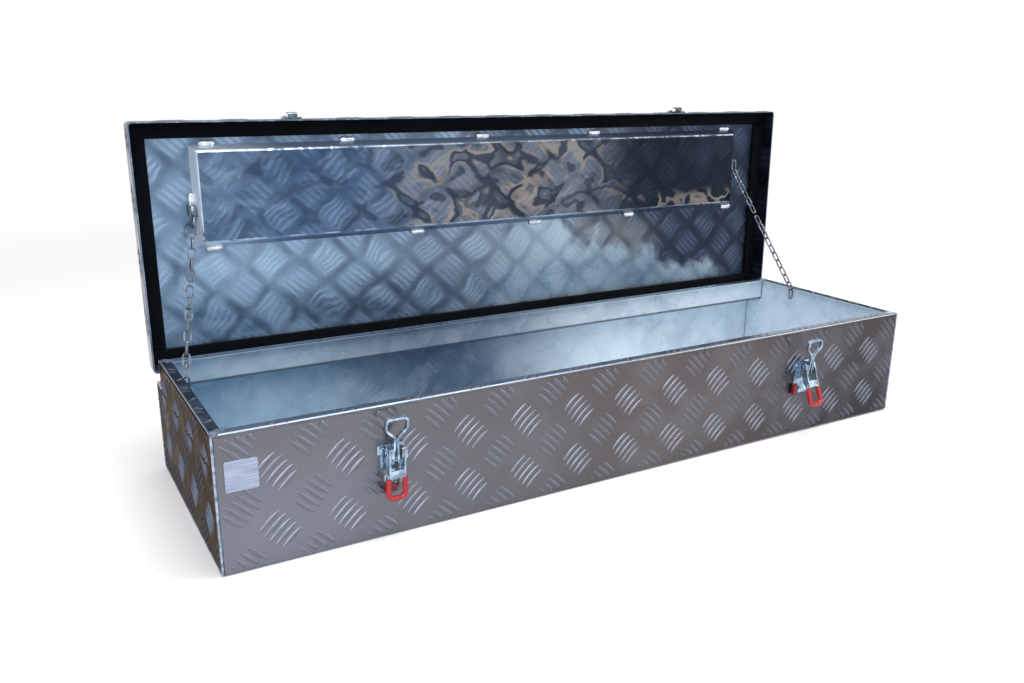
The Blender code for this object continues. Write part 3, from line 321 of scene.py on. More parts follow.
# Painted light inside: the right end's inside is lighter than the left's.
inner = tint(tree, between(tree, axis["X"], -0.4, 0.4), tone(160, 190, 216), tone(214, 228, 240))
sheet = use_group(
    tree, mill_sheet, Where=where, Across=axis["Y"], Up=axis["Z"],
    Across_Start=GROUP_START[0], Up_Start=GROUP_START[1],
    Middle_Colour=tint(tree, inside, outer, inner),
    Bright_Colour=tint(tree, inside, tone(120, 120, 126), tone(214, 226, 236)),
    Dark_Colour=tint(tree, inside, tone(52, 42, 34), tone(96, 120, 152)),
    Ghosts=reckon(tree, 'MULTIPLY', inside, 0.22),
    Clouds=between(tree, inside, 0.0, 1.0, 0.15, 0.36))
feed(tree, shader["Base Color"], sheet["Colour"])
feed(tree, shader["Metallic"], between(tree, inside, 0.0, 1.0, 0.95, 0.2))
shader["Specular Tint"].default_value = tone(140, 129, 115)
feed(tree, shader["Roughness"], sheet["Roughness"])
emboss(tree, shader, sheet["Height"], MILL_BUMP)
dress(["end_panel_left", "end_panel_right"], end_finish)


# The rolled bars of the tread plate, in fives that lean by turns: solid aluminium
# pressed up out of the sheet. They stop at each fold, and go on over the flange.
SECTION_SHARES = (
    (-1.0, 0.0), (-0.80, 0.28), (-0.45, 0.74), (0.0, 1.0), (0.45, 0.74), (0.80, 0.28), (1.0, 0.0))
BAR_STEPS = 10
FLANGE_GAP = 0.0015
REAR_FLANGE_SHIFT = (0.021, -0.012)
REAR_FLANGE_MARGIN = 0.001
END_GROUP_START = (-0.118, 0.049)
PLATE_PATCH = (-0.4895, 0.0905, -0.456, 0.1235)
FOLD = 0.0042
FLANGE_BAR_HEIGHT = 0.00022
BAR_SINK = 0.00015
SHORT_BAR_SHARE = 0.86


def bar_finish(name, body, glint, far_glint, shade, glancing=tone(255, 255, 255)):
    """Rolled aluminium: each bar has the plate's own tone at its foot, a cooler back, and a painted
    highlight along one flank, fainter towards the box's right end, with painted shade on the other flank."""
    made, tree, shader, where, axis = new_finish(name, 0.86)
    shader["Specular Tint"].default_value = glancing
    sheet = use_group(tree, plate_tone_and_shade, Along=axis["X"], Up=axis["Z"])["Colour"]
    body = tint(tree, 0.5, sheet, body)
    glint = tint(tree, between(tree, axis["X"], 0.0, 0.5), glint, far_glint)
    mark = tree.nodes.new("ShaderNodeAttribute")
    mark.attribute_name = "flank"
    side = mark.outputs["Fac"]
    sheen_mask = mottle(tree, where, 70.0, 2.0, warp=0.5)
    uneven = between(tree, sheen_mask, 0.25, 0.7, 0.40, 0.95)
    colour = tint(tree, between(tree, reckon(tree, 'ABSOLUTE', side), 0.95, 0.40), sheet, body)
    edge = all_of(tree, between(tree, side, 0.34, 0.60), between(tree, side, 1.0, 0.86), uneven)
    colour = tint(tree, edge, colour, glint)
    shaded_flank = all_of(tree, between(tree, side, -0.35, -0.62), between(tree, side, -1.0, -0.86))
    colour = tint(tree, reckon(tree, 'MULTIPLY', shaded_flank, 0.5), colour, shade)
    feed(tree, shader["Base Color"], colour)
    feed(tree, shader["Roughness"], between(tree, sheen_mask, 0.3, 0.7, 0.30, 0.46))
    return made


def raise_bars(name, body, finish, low, high, start, lean, place, holes=(), tall=BAR_HEIGHT):
    """Bars over the patch low..high of a developed sheet, on a grid of groups from start.
    place turns (across, up, height) into a point, and no bar is raised over a hole. A strip
    too narrow for any bar of this lean gets no piece."""
    points, faces, flanks = [], [], []
    direction = Vector((math.cos(lean), math.sin(lean)))
    normal = Vector((-direction.y, direction.x))
    columns = range(math.floor((low[0] - start[0]) / GROUP_PITCH_ACROSS),
                    math.ceil((high[0] - start[0]) / GROUP_PITCH_ACROSS) + 1)
    rows = range(math.floor((low[1] - start[1]) / GROUP_PITCH_UP),
                 math.ceil((high[1] - start[1]) / GROUP_PITCH_UP) + 1)
    for column in columns:
        for row in rows:
            group = Vector((start[0] + column * GROUP_PITCH_ACROSS, start[1] + row * GROUP_PITCH_UP))
            for number in range(-2, 3):
                middle = group + normal * (number * BAR_PITCH)
                half = BAR_HALF_LENGTH * (1.0 if abs(number) < 2 else SHORT_BAR_SHARE)
                first, last = -half, half
                for side in (0, 1):
                    margin = BAR_HALF_WIDTH * abs(normal[side])
                    ends = sorted(((low[side] + margin - middle[side]) / direction[side],
                                   (high[side] - margin - middle[side]) / direction[side]))
                    first, last = max(first, ends[0]), min(last, ends[1])
                if last - first < 2 * BAR_HALF_WIDTH:
                    continue
                if any(x0 < middle.x < x1 and y0 < middle.y < y1 for x0, y0, x1, y1 in holes):
                    continue
                base = len(points)
                for step in range(BAR_STEPS + 1):
                    run = first + (last - first) * step / BAR_STEPS
                    swell = max(1.0 - (run / half) ** 2, 0.02)
                    for beside, rise in SECTION_SHARES:
                        at = middle + direction * run + normal * (beside * BAR_HALF_WIDTH * swell ** 0.8)
                        height = tall * rise * swell ** 0.6 if rise else -BAR_SINK
                        points.append(place(at.x, at.y, height))
                        flanks.append(beside)
                wide = len(SECTION_SHARES)
                for step in range(BAR_STEPS):
                    for k in range(wide):
                        a, b = base + step * wide + k, base + step * wide + (k + 1) % wide
                        faces.append((a, b, b + wide, a + wide))
                faces.append(tuple(base + k for k in reversed(range(wide))))
                faces.append(tuple(base + BAR_STEPS * wide + k for k in range(wide)))
    if not faces:
        return
    mesh = bpy.data.meshes.new(name)
    mesh.from_pydata(points, [], faces)
    mesh.attributes.new("flank", 'FLOAT', 'POINT').data.foreach_set("value", flanks)
    tidy = bmesh.new()
    tidy.from_mesh(mesh)
    bmesh.ops.recalc_face_normals(tidy, faces=tidy.faces)
    for face in tidy.faces:
        face.smooth = len(face.verts) == 4
    tidy.to_mesh(mesh)
    tidy.free()
    mesh.materials.append(finish)
    piece = bpy.data.objects.new(name, mesh)
    bpy.context.scene.collection.objects.link(piece)
    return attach(piece, body)


# The rising sets get a lit copy of the bar finish and the falling sets a shaded copy: painted light and
# shade on one rolled aluminium.
lit_bars = bar_finish(
    "tread_bars_lit", tone(112, 118, 134), tone(188, 196, 212), tone(150, 156, 174), tone(84, 82, 92))
shaded_bars = bar_finish(
    "tread_bars_shaded", tone(106, 109, 122), tone(136, 142, 158), tone(104, 108, 122), tone(98, 99, 110))
# The end bars' cooler Specular Tint is a painted reflection tint at a glancing angle.
end_bars = bar_finish(
    "tread_bars_end", tone(92, 98, 114), tone(132, 142, 166), tone(132, 142, 166), tone(70, 68, 76),
    tone(112, 119, 142))


def two_leans(start):
    """The grid of sets that rise to the right, and the one that falls, half a pitch on."""
    second = (start[0] + GROUP_PITCH_ACROSS / 2, start[1] + GROUP_PITCH_UP / 2)
    return (("rising", start, BAR_LEAN, lit_bars), ("falling", second, -BAR_LEAN, shaded_bars))


for word, start, lean, finish in two_leans(GROUP_START):
    raise_bars("tread_front_" + word, "box", finish,
               (-BOX_HALF_LENGTH + FOLD, FOLD), (BOX_HALF_LENGTH - FOLD, RIM_TOP_Z - FOLD), start, lean,
               lambda u, v, h: (u, FRONT_FACE_Y - h, v), holes=[PLATE_PATCH])
    raise_bars("tread_front_flange_" + word, "box", finish,
               (-BOX_HALF_LENGTH + FLANGE_WIDTH, RIM_TOP_Z + FLANGE_GAP),
               (BOX_HALF_LENGTH - FLANGE_WIDTH, RIM_TOP_Z + FLANGE_WIDTH), start, lean,
               lambda u, v, h: (u, FRONT_FACE_Y + v - RIM_TOP_Z, RIM_TOP_Z + h), tall=FLANGE_BAR_HEIGHT)
    raise_bars("tread_rear_flange_" + word, "box", finish,
               (-BOX_HALF_LENGTH + FLANGE_WIDTH, 0.0),
               (BOX_HALF_LENGTH - FLANGE_WIDTH, FLANGE_WIDTH - REAR_FLANGE_MARGIN),
               (start[0] + REAR_FLANGE_SHIFT[0], start[1] + REAR_FLANGE_SHIFT[1]), lean,
               lambda u, v, h: (u, BAND_FACE_Y - FLANGE_GAP - v, RIM_TOP_Z + h), tall=FLANGE_BAR_HEIGHT)
    raise_bars("tread_back_" + word, "box", finish,
               (-BOX_HALF_LENGTH + FOLD, FOLD), (BOX_HALF_LENGTH - FOLD, LEDGE_FACE_Z - FOLD), start, lean,
               lambda u, v, h: (u, BACK_FACE_Y + h, v))
for side, sign in (("left", -1.0), ("right", 1.0)):
    for word, start, lean, _ in two_leans(END_GROUP_START):
        def on_end(u, v, h, sign=sign):
            return (sign * (BOX_HALF_LENGTH + h), -sign * u, v)
        front, back, band = FRONT_FACE_Y + FOLD, BACK_FACE_Y - FOLD, BAND_FACE_Y - FOLD
        ends = sorted((-sign * front, -sign * back))
        raise_bars("tread_end_%s_%s" % (side, word), "box", end_bars,
                   (ends[0], FOLD), (ends[1], LEDGE_FACE_Z - FOLD), start, lean, on_end)
        ends = sorted((-sign * front, -sign * band))
        raise_bars("tread_end_%s_%s_upper" % (side, word), "box", end_bars,
                   (ends[0], LEDGE_FACE_Z - FOLD), (ends[1], RIM_TOP_Z - FOLD), start, lean, on_end)
        raise_bars("tread_end_%s_%s_flange" % (side, word), "box", lit_bars,
                   (FRONT_FACE_Y + FLANGE_WIDTH, RIM_TOP_Z + FLANGE_GAP),
                   (BAND_FACE_Y - FLANGE_WIDTH, RIM_TOP_Z + FLANGE_WIDTH), start, lean,
                   lambda u, v, h, sign=sign: (sign * (BOX_HALF_LENGTH + RIM_TOP_Z - v), u, RIM_TOP_Z + h),
                   tall=FLANGE_BAR_HEIGHT)


# Welds: rippled beads of bright aluminium that close the corners of the box, pads where
# the rim's flanges meet, and short stitches that hold the tray and the hinge.
BEAD_SIDES = 10
RIPPLE_PITCH = 0.0021
STITCH_HALF_LENGTH = 0.010
PAD_BEADS = (-0.0024, 0.0, 0.0024)
PAD_BEAD_RADIUS = 0.0017
PAD_FLATNESS = 0.12
PAD_LENGTH = 0.012
PAD_CORNER = 0.002


def bead_finish(name, bright, dull):
    """Weld metal with a little soot left on it."""
    made, tree, shader, where, axis = new_finish(name, 0.8)
    soot = mottle(tree, where, 160.0, 3.0, warp=0.4)
    feed(tree, shader["Base Color"], tint(tree, between(tree, soot, 0.35, 0.7), bright, dull))
    feed(tree, shader["Roughness"], between(tree, soot, 0.3, 0.7, 0.2, 0.42))
    emboss(tree, shader, mottle(tree, where, 700.0, 2.0), 0.0002)
    return made


weld_finish = bead_finish("weld_bead", tone(246, 248, 252), tone(186, 196, 212))
corner_finish = bead_finish("weld_corner", tone(176, 186, 204), tone(112, 118, 134))
dress(["corner_weld_left", "corner_weld_right"], corner_finish)


def lay_bead(bm, start, end, radius, flat, up):
    """One stitch: overlapping ripples along a line, half sunk in the joint, and flatter along up."""
    start, end = Vector(start), Vector(end)
    run = (end - start).normalized()
    side = run.cross(up).normalized()
    count = max(int((end - start).length / RIPPLE_PITCH) * 4, 8)
    turns = [math.tau * k / BEAD_SIDES for k in range(BEAD_SIDES)]
    rings = []
    for step in range(count + 1):
        share = step / count
        fade = math.sqrt(max(1.0 - abs(2.0 * share - 1.0) ** 6, 0.03))
        ripple = 1.0 + 0.10 * math.cos(math.tau * share * (end - start).length / RIPPLE_PITCH)
        middle = start.lerp(end, share)
        size = radius * fade * ripple
        rings.append([bm.verts.new(middle + side * (size * math.cos(turn))
                                   + up * (size * flat * math.sin(turn))) for turn in turns])
    for one, two in zip(rings, rings[1:]):
        for k in range(BEAD_SIDES):
            after = (k + 1) % BEAD_SIDES
            bm.faces.new((one[k], one[after], two[after], two[k])).smooth = True
    bm.faces.new(rings[0])
    bm.faces.new(rings[-1])


def make_piece(name, bm, finish, body):
    """Turns a built mesh into a piece that moves with its body."""
    bmesh.ops.recalc_face_normals(bm, faces=bm.faces)
    mesh = bpy.data.meshes.new(name)
    bm.to_mesh(mesh)
    bm.free()
    mesh.materials.append(finish)
    piece = bpy.data.objects.new(name, mesh)
    bpy.context.scene.collection.objects.link(piece)
    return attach(piece, body)


bm = bmesh.new()
for sign in (-1.0, 1.0):
    for y, inward in ((FRONT_FACE_Y, 1.0), (BAND_FACE_Y, -1.0)):
        corner = Vector((sign * (BOX_HALF_LENGTH - PAD_CORNER), y + inward * PAD_CORNER, RIM_TOP_Z))
        inner_corner = corner + Vector((-sign * PAD_LENGTH, inward * PAD_LENGTH, 0.0))
        for shift in PAD_BEADS:
            slide = Vector((sign * shift, inward * shift, 0.0))
            lay_bead(bm, corner + slide, inner_corner + slide,
                     PAD_BEAD_RADIUS, PAD_FLATNESS, Vector((0.0, 0.0, 1.0)))
make_piece("rim_corner_welds", bm, corner_finish, "box")


# A small square plate stuck on the front wall near its left end: thin bright aluminium,
# brushed, with rounded corners and turned edges, left bare.
PLATE_THICKNESS = 0.0011
PLATE_CORNER = 0.0022
PLATE_EDGE = 0.0004
plate_finish, tree, shader, where, axis = new_finish("bare_plate", 0.82)
brushed = mottle(tree, where, 90.0, 4.0, stretch=(0.4, 1.0, 14.0))
feed(tree, shader["Base Color"], tint(
    tree, between(tree, brushed, 0.3, 0.7), tone(166, 178, 202), tone(138, 148, 172)))
feed(tree, shader["Roughness"], between(tree, brushed, 0.3, 0.7, 0.22, 0.4))
emboss(tree, shader, brushed, 0.00005)
left, bottom, right, top = PLATE_PATCH
bm = bmesh.new()
bmesh.ops.create_cube(bm, size=1.0, matrix=Matrix.Translation((
    (left + right) / 2, FRONT_FACE_Y - PLATE_THICKNESS / 2, (bottom + top) / 2))
    @ Matrix.Diagonal((right - left, PLATE_THICKNESS, top - bottom, 1.0)))
upright = [e for e in bm.edges if abs(e.verts[0].co.y - e.verts[1].co.y) > PLATE_THICKNESS / 2]
bmesh.ops.bevel(bm, geom=upright, offset=PLATE_CORNER, segments=5, affect='EDGES', profile=0.5)
rim = [e for e in bm.edges if all(v.co.y < FRONT_FACE_Y - PLATE_THICKNESS / 2 for v in e.verts)]
bmesh.ops.bevel(bm, geom=rim, offset=PLATE_EDGE, segments=3, affect='EDGES', profile=0.5)
make_piece("bare_plate", bm, plate_finish, "box")


# The hinge: a full-length piano hinge of plated steel, one leaf stitched to the band
# at the back of the box and the other to the lid's rear skirt, on one long pin.
HINGE_Y = 0.1349
HINGE_Z = 0.1379
HINGE_HALF_LENGTH = 0.470
HINGE_STITCHES = 7
HINGE_STITCH_FLATNESS = 0.8
BOX_STITCH_REACH = 0.94
BOX_STITCH_RADIUS = 0.0012
BOX_STITCH_OFF_BAND, BOX_STITCH_OFF_LEDGE = 0.0014, 0.0046
OPEN_TURN = math.radians(-91)
OPEN_SLOPE = 0.0175

hinge_finish, tree, shader, where, axis = new_finish("hinge_steel", 0.9)
rolled = mottle(tree, where, 60.0, 4.0, stretch=(0.2, 6.0, 6.0))
spots = mottle(tree, where, 90.0, 3.0)
colour = tint(tree, between(tree, rolled, 0.3, 0.7), tone(196, 204, 214), tone(140, 150, 164))
feed(tree, shader["Base Color"], tint(
    tree, between(tree, spots, 0.58, 0.72, 0.0, 0.5), colour, tone(92, 96, 104)))
feed(tree, shader["Roughness"], between(tree, spots, 0.3, 0.7, 0.24, 0.42))
emboss(tree, shader, rolled, 0.0001)
dress(["hinge_box_leaf", "hinge_lid_leaf", "hinge_pin"], hinge_finish)


def on_lid(x, back, up):
    """Puts a point of the closed lid, counted from the hinge's pin, where the open lid has it."""
    turn = Matrix.Rotation(OPEN_TURN, 3, 'X')
    return Vector((0.0, HINGE_Y, HINGE_Z)) + turn @ Vector((x, back, up))


bm = bmesh.new()
for number in range(HINGE_STITCHES):
    middle = HINGE_HALF_LENGTH * (2 * number / (HINGE_STITCHES - 1) - 1) * BOX_STITCH_REACH
    ends = [(middle + shift, BAND_FACE_Y + BOX_STITCH_OFF_BAND, LEDGE_FACE_Z + BOX_STITCH_OFF_LEDGE)
            for shift in (-STITCH_HALF_LENGTH, STITCH_HALF_LENGTH)]
    lay_bead(bm, *ends, BOX_STITCH_RADIUS, HINGE_STITCH_FLATNESS, Vector((0.0, 1.0, 0.0)))
make_piece("hinge_stitches_box", bm, weld_finish, "box")


# The lid: a second sheet of tread plate, folded down into a skirt all round, with the
# rolled side out and the ghosts of its bars showing all over the plain inside.
LID_HALF_LENGTH = 0.5055
LID_FRONT = -0.2954
LID_BACK = 0.0049
LID_TOP = 0.0224
LID_SKIRT = 0.028
LID_FOLD = 0.0058
LID_GROUP_START = (-0.417, 0.113)
LID_GHOST_START = (-0.417, 0.251)
SKIRT_MARGIN = 0.001
KEEPER_PLACES = (-0.3135, 0.3040)
KEEPER_ROOM = (-0.018, 0.024)
LID_STITCH_REACH = 0.90
LID_STITCH_RADIUS = 0.0011
LID_STITCH_BACK, LID_STITCH_UP = 0.0026, 0.0150

lid_finish, tree, shader, where, axis = new_finish("tread_plate_lid", 0.86)
height_up = reckon(tree, 'SUBTRACT', axis["Z"], HINGE_Z)
middle_of_sheet = reckon(tree, 'ADD', reckon(tree, 'MULTIPLY', height_up, OPEN_SLOPE),
                         HINGE_Y + LID_TOP - SHEET / 2)
inside = all_of(
    tree,
    reckon(tree, 'LESS_THAN', axis["Y"], middle_of_sheet),
    reckon(tree, 'LESS_THAN', reckon(tree, 'ABSOLUTE', axis["X"]), LID_HALF_LENGTH - SHEET / 2),
    reckon(tree, 'LESS_THAN', height_up, -LID_FRONT - SHEET / 2),
    reckon(tree, 'GREATER_THAN', height_up, -LID_BACK + SHEET / 2))
# The plain side goes from blue at the left to dark at the right, painted light and shade, with warm patches
# between.
warm = between(tree, mottle(tree, where, 3.2, 2.0, warp=0.7), 0.44, 0.62)
inner = tint(tree, between(tree, axis["X"], -0.46, 0.0), tone(104, 130, 160), tone(84, 97, 116))
inner = tint(tree, between(tree, axis["X"], 0.05, 0.36), inner, tone(44, 55, 74))
inner = tint(tree, reckon(tree, 'MULTIPLY', warm, all_of(
    tree, between(tree, axis["X"], -0.2, 0.05), between(tree, axis["X"], 0.25, 0.4, 1.0, 0.0))), inner,
    tone(120, 124, 128))
# Painted light: the plain side is lighter low down on the left.
low_left = all_of(tree, between(tree, axis["Z"], 0.36, 0.20), between(tree, axis["X"], 0.2, -0.1))
inner = tint(tree, reckon(tree, 'MULTIPLY', low_left, 0.75), inner, tint(
    tree, between(tree, axis["X"], -0.35, 0.0), tone(146, 176, 204), tone(112, 128, 150)))
# Low down on the right, a pale patch is painted highlight, with the ghosts fainter under it.
ragged = between(tree, mottle(tree, where, 22.0, 3.0, warp=0.5), 0.25, 0.75, -0.03, 0.03)
slope = reckon(tree, 'ADD', axis["Z"], reckon(tree, 'MULTIPLY', axis["X"], 0.30))
slope = reckon(tree, 'ADD', slope, ragged)
sheen_mask = all_of(tree, between(tree, slope, 0.315, 0.27), between(tree, axis["X"], -0.16, 0.10),
                between(tree, axis["X"], 0.47, 0.40))
inner = tint(tree, sheen_mask, inner, tone(158, 180, 198))
bright = tint(tree, between(tree, axis["X"], 0.0, 0.38), tone(164, 192, 220), tone(84, 100, 124))
bright = tint(tree, sheen_mask, bright, tone(190, 204, 212))
dark = tint(tree, between(tree, axis["X"], -0.1, 0.4), tone(46, 60, 84), tone(24, 28, 38))
sheet = use_group(
    tree, mill_sheet, Where=where, Across=axis["X"], Up=axis["Z"],
    Across_Start=LID_GHOST_START[0], Up_Start=LID_GHOST_START[1],
    Middle_Colour=tint(tree, inside, tone(122, 124, 134), inner),
    Bright_Colour=tint(tree, inside, tone(156, 160, 172), bright),
    Dark_Colour=tint(tree, inside, tone(80, 76, 80), dark),
    Ghosts=reckon(tree, 'MULTIPLY', inside, reckon(
        tree, 'SUBTRACT', 0.95, reckon(tree, 'MULTIPLY', sheen_mask, 0.55))),
    Clouds=between(tree, inside, 0.0, 1.0, 0.3, 0.28))
feed(tree, shader["Base Color"], sheet["Colour"])
feed(tree, shader["Roughness"], sheet["Roughness"])
emboss(tree, shader, sheet["Height"], 0.00012)
dress(["lid_skin"], lid_finish)

keeper_holes = [(x + KEEPER_ROOM[0], -2 * LID_SKIRT, x + KEEPER_ROOM[1], 2 * LID_SKIRT)
                for x in KEEPER_PLACES]
for word, start, lean, finish in two_leans(LID_GROUP_START):
    raise_bars("tread_lid_top_" + word, "lid", finish,
               (-LID_HALF_LENGTH + LID_FOLD, -LID_BACK + LID_FOLD),
               (LID_HALF_LENGTH - LID_FOLD, -LID_FRONT - LID_FOLD),
               start, lean, lambda u, v, h: on_lid(u, -v, LID_TOP + h))
    raise_bars("tread_lid_front_skirt_" + word, "lid", finish,
               (-LID_HALF_LENGTH + LID_FOLD, SKIRT_MARGIN),
               (LID_HALF_LENGTH - LID_FOLD, LID_SKIRT - LID_FOLD),
               start, lean, lambda u, v, h: on_lid(u, LID_FRONT - h, LID_TOP - LID_SKIRT + v),
               holes=keeper_holes)
    for side, sign in (("left", -1.0), ("right", 1.0)):
        def on_skirt(u, v, h, sign=sign):
            return on_lid(sign * (LID_HALF_LENGTH + h), -u, LID_TOP - LID_SKIRT + v)
        raise_bars("tread_lid_%s_skirt_%s" % (side, word), "lid", finish,
                   (-LID_BACK + LID_FOLD, SKIRT_MARGIN), (-LID_FRONT - LID_FOLD, LID_SKIRT - LID_FOLD),
                   start, lean, on_skirt)

bm = bmesh.new()
for number in range(HINGE_STITCHES):
    middle = HINGE_HALF_LENGTH * (2 * number / (HINGE_STITCHES - 1) - 1) * LID_STITCH_REACH
    ends = [on_lid(middle + shift, LID_STITCH_BACK, LID_STITCH_UP)
            for shift in (-STITCH_HALF_LENGTH, STITCH_HALF_LENGTH)]
    lay_bead(bm, *ends, LID_STITCH_RADIUS, HINGE_STITCH_FLATNESS, Vector((0.0, -1.0, 0.0)))
make_piece("hinge_stitches_lid", bm, weld_finish, "lid")


# The stiffening tray inside the lid: a shallow pan of thinner, shinier sheet with sloped walls, held to the
# lid by short stitch welds. Its skin is wavy, and its rippling reflections are painted into its colour.
PAN_MIDDLE = (0.002, 0.3415)
PAN_HALF_FACE = (0.4305, 0.0547)
PAN_GHOST_START = (-0.402, 0.311)
WALL_STARTS, WALL_WHOLE = 0.0008, 0.0016
PAN_STITCH_UP = 0.0188
PAN_STITCH_BACKS = (-0.2676, -0.1396)
PAN_STITCHES_ABOVE = (-0.4145, -0.235, -0.034, 0.158, 0.419)
PAN_STITCHES_BELOW = (-0.415, -0.138, 0.053, 0.228, 0.432)
PAN_STITCH_RADIUS, PAN_STITCH_FLATNESS = 0.0038, 0.6
SIDE_STITCH_X = -0.4375
SIDE_STITCH_BACKS = (-0.1851, -0.2091)
SIDE_STITCH_RADIUS, SIDE_STITCH_FLATNESS = 0.0042, 0.55

pan_finish, tree, shader, where, axis = new_finish("lid_tray_sheet", 0.88)
swirl = mottle(tree, where, 14.0, 1.0, stretch=(0.7, 1.0, 1.5), warp=0.8)
ripple = mottle(tree, where, 55.0, 1.0, stretch=(0.7, 1.0, 1.5), warp=0.6)
wander = between(tree, mottle(tree, where, 22.0, 2.0), 0.2, 0.8, -0.011, 0.011)
across = reckon(tree, 'ADD', axis["X"], wander)
up = reckon(tree, 'SUBTRACT', axis["Z"], wander)
rising, falling = [
    use_group(tree, bar_marks, Across=across, Up=up, Across_Start=start[0], Up_Start=start[1], Lean=lean)
    for _, start, lean, _ in two_leans(PAN_GHOST_START)]
dimples = reckon(tree, 'ADD', rising["Patch"], reckon(tree, 'MULTIPLY', falling["Patch"], 0.85))
waves = reckon(tree, 'ADD', reckon(tree, 'MULTIPLY', swirl, 20.0), reckon(tree, 'MULTIPLY', ripple, 3.5))
contour = reckon(tree, 'ADD', reckon(tree, 'MULTIPLY', dimples, 4.0), waves)
broken = between(tree, mottle(tree, where, 20.0, 1.0, stretch=(0.6, 1.0, 1.4)), 0.38, 0.62)
pale_line = reckon(tree, 'MULTIPLY', between(tree, reckon(tree, 'SINE', contour), 0.1, 1.0), broken)
dark_line = between(tree, reckon(tree, 'SINE', reckon(tree, 'ADD', contour, 1.9)), -0.2, 1.0)
left_part = between(tree, axis["X"], -0.26, -0.06, 1.0, 0.0)
right_part = between(tree, axis["X"], 0.10, 0.24)
middle_part = reckon(tree, 'SUBTRACT', reckon(tree, 'SUBTRACT', 1.0, left_part), right_part)
low_edge = between(tree, axis["Z"], 0.318, 0.296)
# Painted light: the pan's tones go from lighter blue at the left to dark at the right.
ground = tint(tree, left_part, tone(98, 108, 124), tone(74, 100, 134))
ground = tint(tree, right_part, ground, tone(26, 34, 48))
bright = tint(tree, left_part, tone(140, 150, 166), tone(134, 162, 194))
bright = tint(tree, right_part, bright, tone(58, 70, 90))
sheet = use_group(
    tree, mill_sheet, Where=where, Across=axis["X"], Up=axis["Z"],
    Across_Start=PAN_GHOST_START[0], Up_Start=PAN_GHOST_START[1],
    Middle_Colour=ground, Bright_Colour=bright,
    Dark_Colour=tint(tree, left_part, tone(24, 30, 42), tone(44, 62, 92)),
    Ghosts=0.60, Clouds=0.50)
# The waves carry painted reflections: tan lines in the middle and low on the right, and hardly any on the
# left, with dark lines among them.
lines = reckon(tree, 'ADD', reckon(tree, 'MULTIPLY', middle_part, 0.66), reckon(
    tree, 'ADD', reckon(tree, 'MULTIPLY', left_part, 0.07), all_of(tree, right_part, low_edge, 0.6)))
dark_share = reckon(tree, 'MULTIPLY', dark_line, reckon(
    tree, 'MINIMUM', reckon(tree, 'ADD', lines, 0.25), 0.7))
pale_share = reckon(tree, 'MULTIPLY', pale_line, reckon(tree, 'MINIMUM', lines, 1.0))
colour = tint(tree, dark_share, sheet["Colour"], tone(30, 40, 58))
colour = tint(tree, pale_share, colour, tone(158, 150, 142))
past_face = reckon(tree, 'MAXIMUM', *[
    reckon(tree, 'SUBTRACT', reckon(tree, 'ABSOLUTE', reckon(tree, 'SUBTRACT', axis[letter], middle)), half)
    for letter, middle, half in zip("XZ", PAN_MIDDLE, PAN_HALF_FACE)])
# Painted reflections on the sloped walls, pale at the left and dark at the right, and a painted highlight
# along the fold, fainter to the right.
wall_tone = tint(tree, between(tree, axis["X"], -0.42, -0.3), tone(206, 220, 236), tone(116, 134, 162))
wall_tone = tint(tree, between(tree, axis["X"], 0.0, 0.3), wall_tone, tone(74, 86, 108))
on_wall = between(tree, past_face, WALL_STARTS, WALL_WHOLE)
colour = tint(tree, on_wall, colour, wall_tone)
glint = all_of(tree, between(tree, reckon(tree, 'ABSOLUTE', past_face), 0.0013, 0.0003),
               between(tree, axis["X"], -0.30, 0.20, 1.0, 0.45),
               between(tree, mottle(tree, where, 30.0, 2.0), 0.36, 0.58, 0.15, 0.9))
colour = tint(tree, glint, colour, tone(214, 226, 240))
feed(tree, shader["Base Color"], colour)
feed(tree, shader["Metallic"], between(tree, past_face, WALL_STARTS, WALL_WHOLE, 0.88, 0.4))
feed(tree, shader["Roughness"], between(tree, swirl, 0.3, 0.7, 0.10, 0.24))
emboss(tree, shader, reckon(tree, 'ADD', sheet["Height"], reckon(tree, 'MULTIPLY', swirl, 3.0)), 0.0004)
dress(["lid_pan"], pan_finish)

bm = bmesh.new()
out_of_lid = Vector((0.0, -1.0, OPEN_SLOPE)).normalized()
for places, back in zip((PAN_STITCHES_ABOVE, PAN_STITCHES_BELOW), PAN_STITCH_BACKS):
    for x in places:
        ends = [on_lid(x + shift, back, PAN_STITCH_UP)
                for shift in (-STITCH_HALF_LENGTH, STITCH_HALF_LENGTH)]
        lay_bead(bm, *ends, PAN_STITCH_RADIUS, PAN_STITCH_FLATNESS, out_of_lid)
ends = [on_lid(SIDE_STITCH_X, back, PAN_STITCH_UP) for back in SIDE_STITCH_BACKS]
lay_bead(bm, *ends, SIDE_STITCH_RADIUS, SIDE_STITCH_FLATNESS, out_of_lid)
make_piece("tray_stitches", bm, weld_finish, "lid")


# The seal: four strips of black cellular rubber, stuck round the inside of the lid
# where it closes on the rim.
seal_finish, tree, shader, where, axis = new_finish("seal_rubber", 0.0, 0.8)
shader["Specular IOR Level"].default_value = 0.1
cells = tree.nodes.new("ShaderNodeTexVoronoi")
cells.inputs["Scale"].default_value = 900.0
feed(tree, cells.inputs["Vector"], where)
dust = mottle(tree, where, 28.0, 4.0, stretch=(0.4, 2.0, 1.0))
feed(tree, shader["Base Color"], tint(
    tree, between(tree, dust, 0.5, 0.8, 0.0, 0.3), tone(2, 5, 10), tone(20, 26, 36)))
feed(tree, shader["Roughness"], between(tree, dust, 0.3, 0.7, 0.7, 0.92))
emboss(tree, shader, cells.outputs["Distance"], 0.0003)
dress(["lid_seal_front", "lid_seal_rear", "lid_seal_left", "lid_seal_right"], seal_finish)


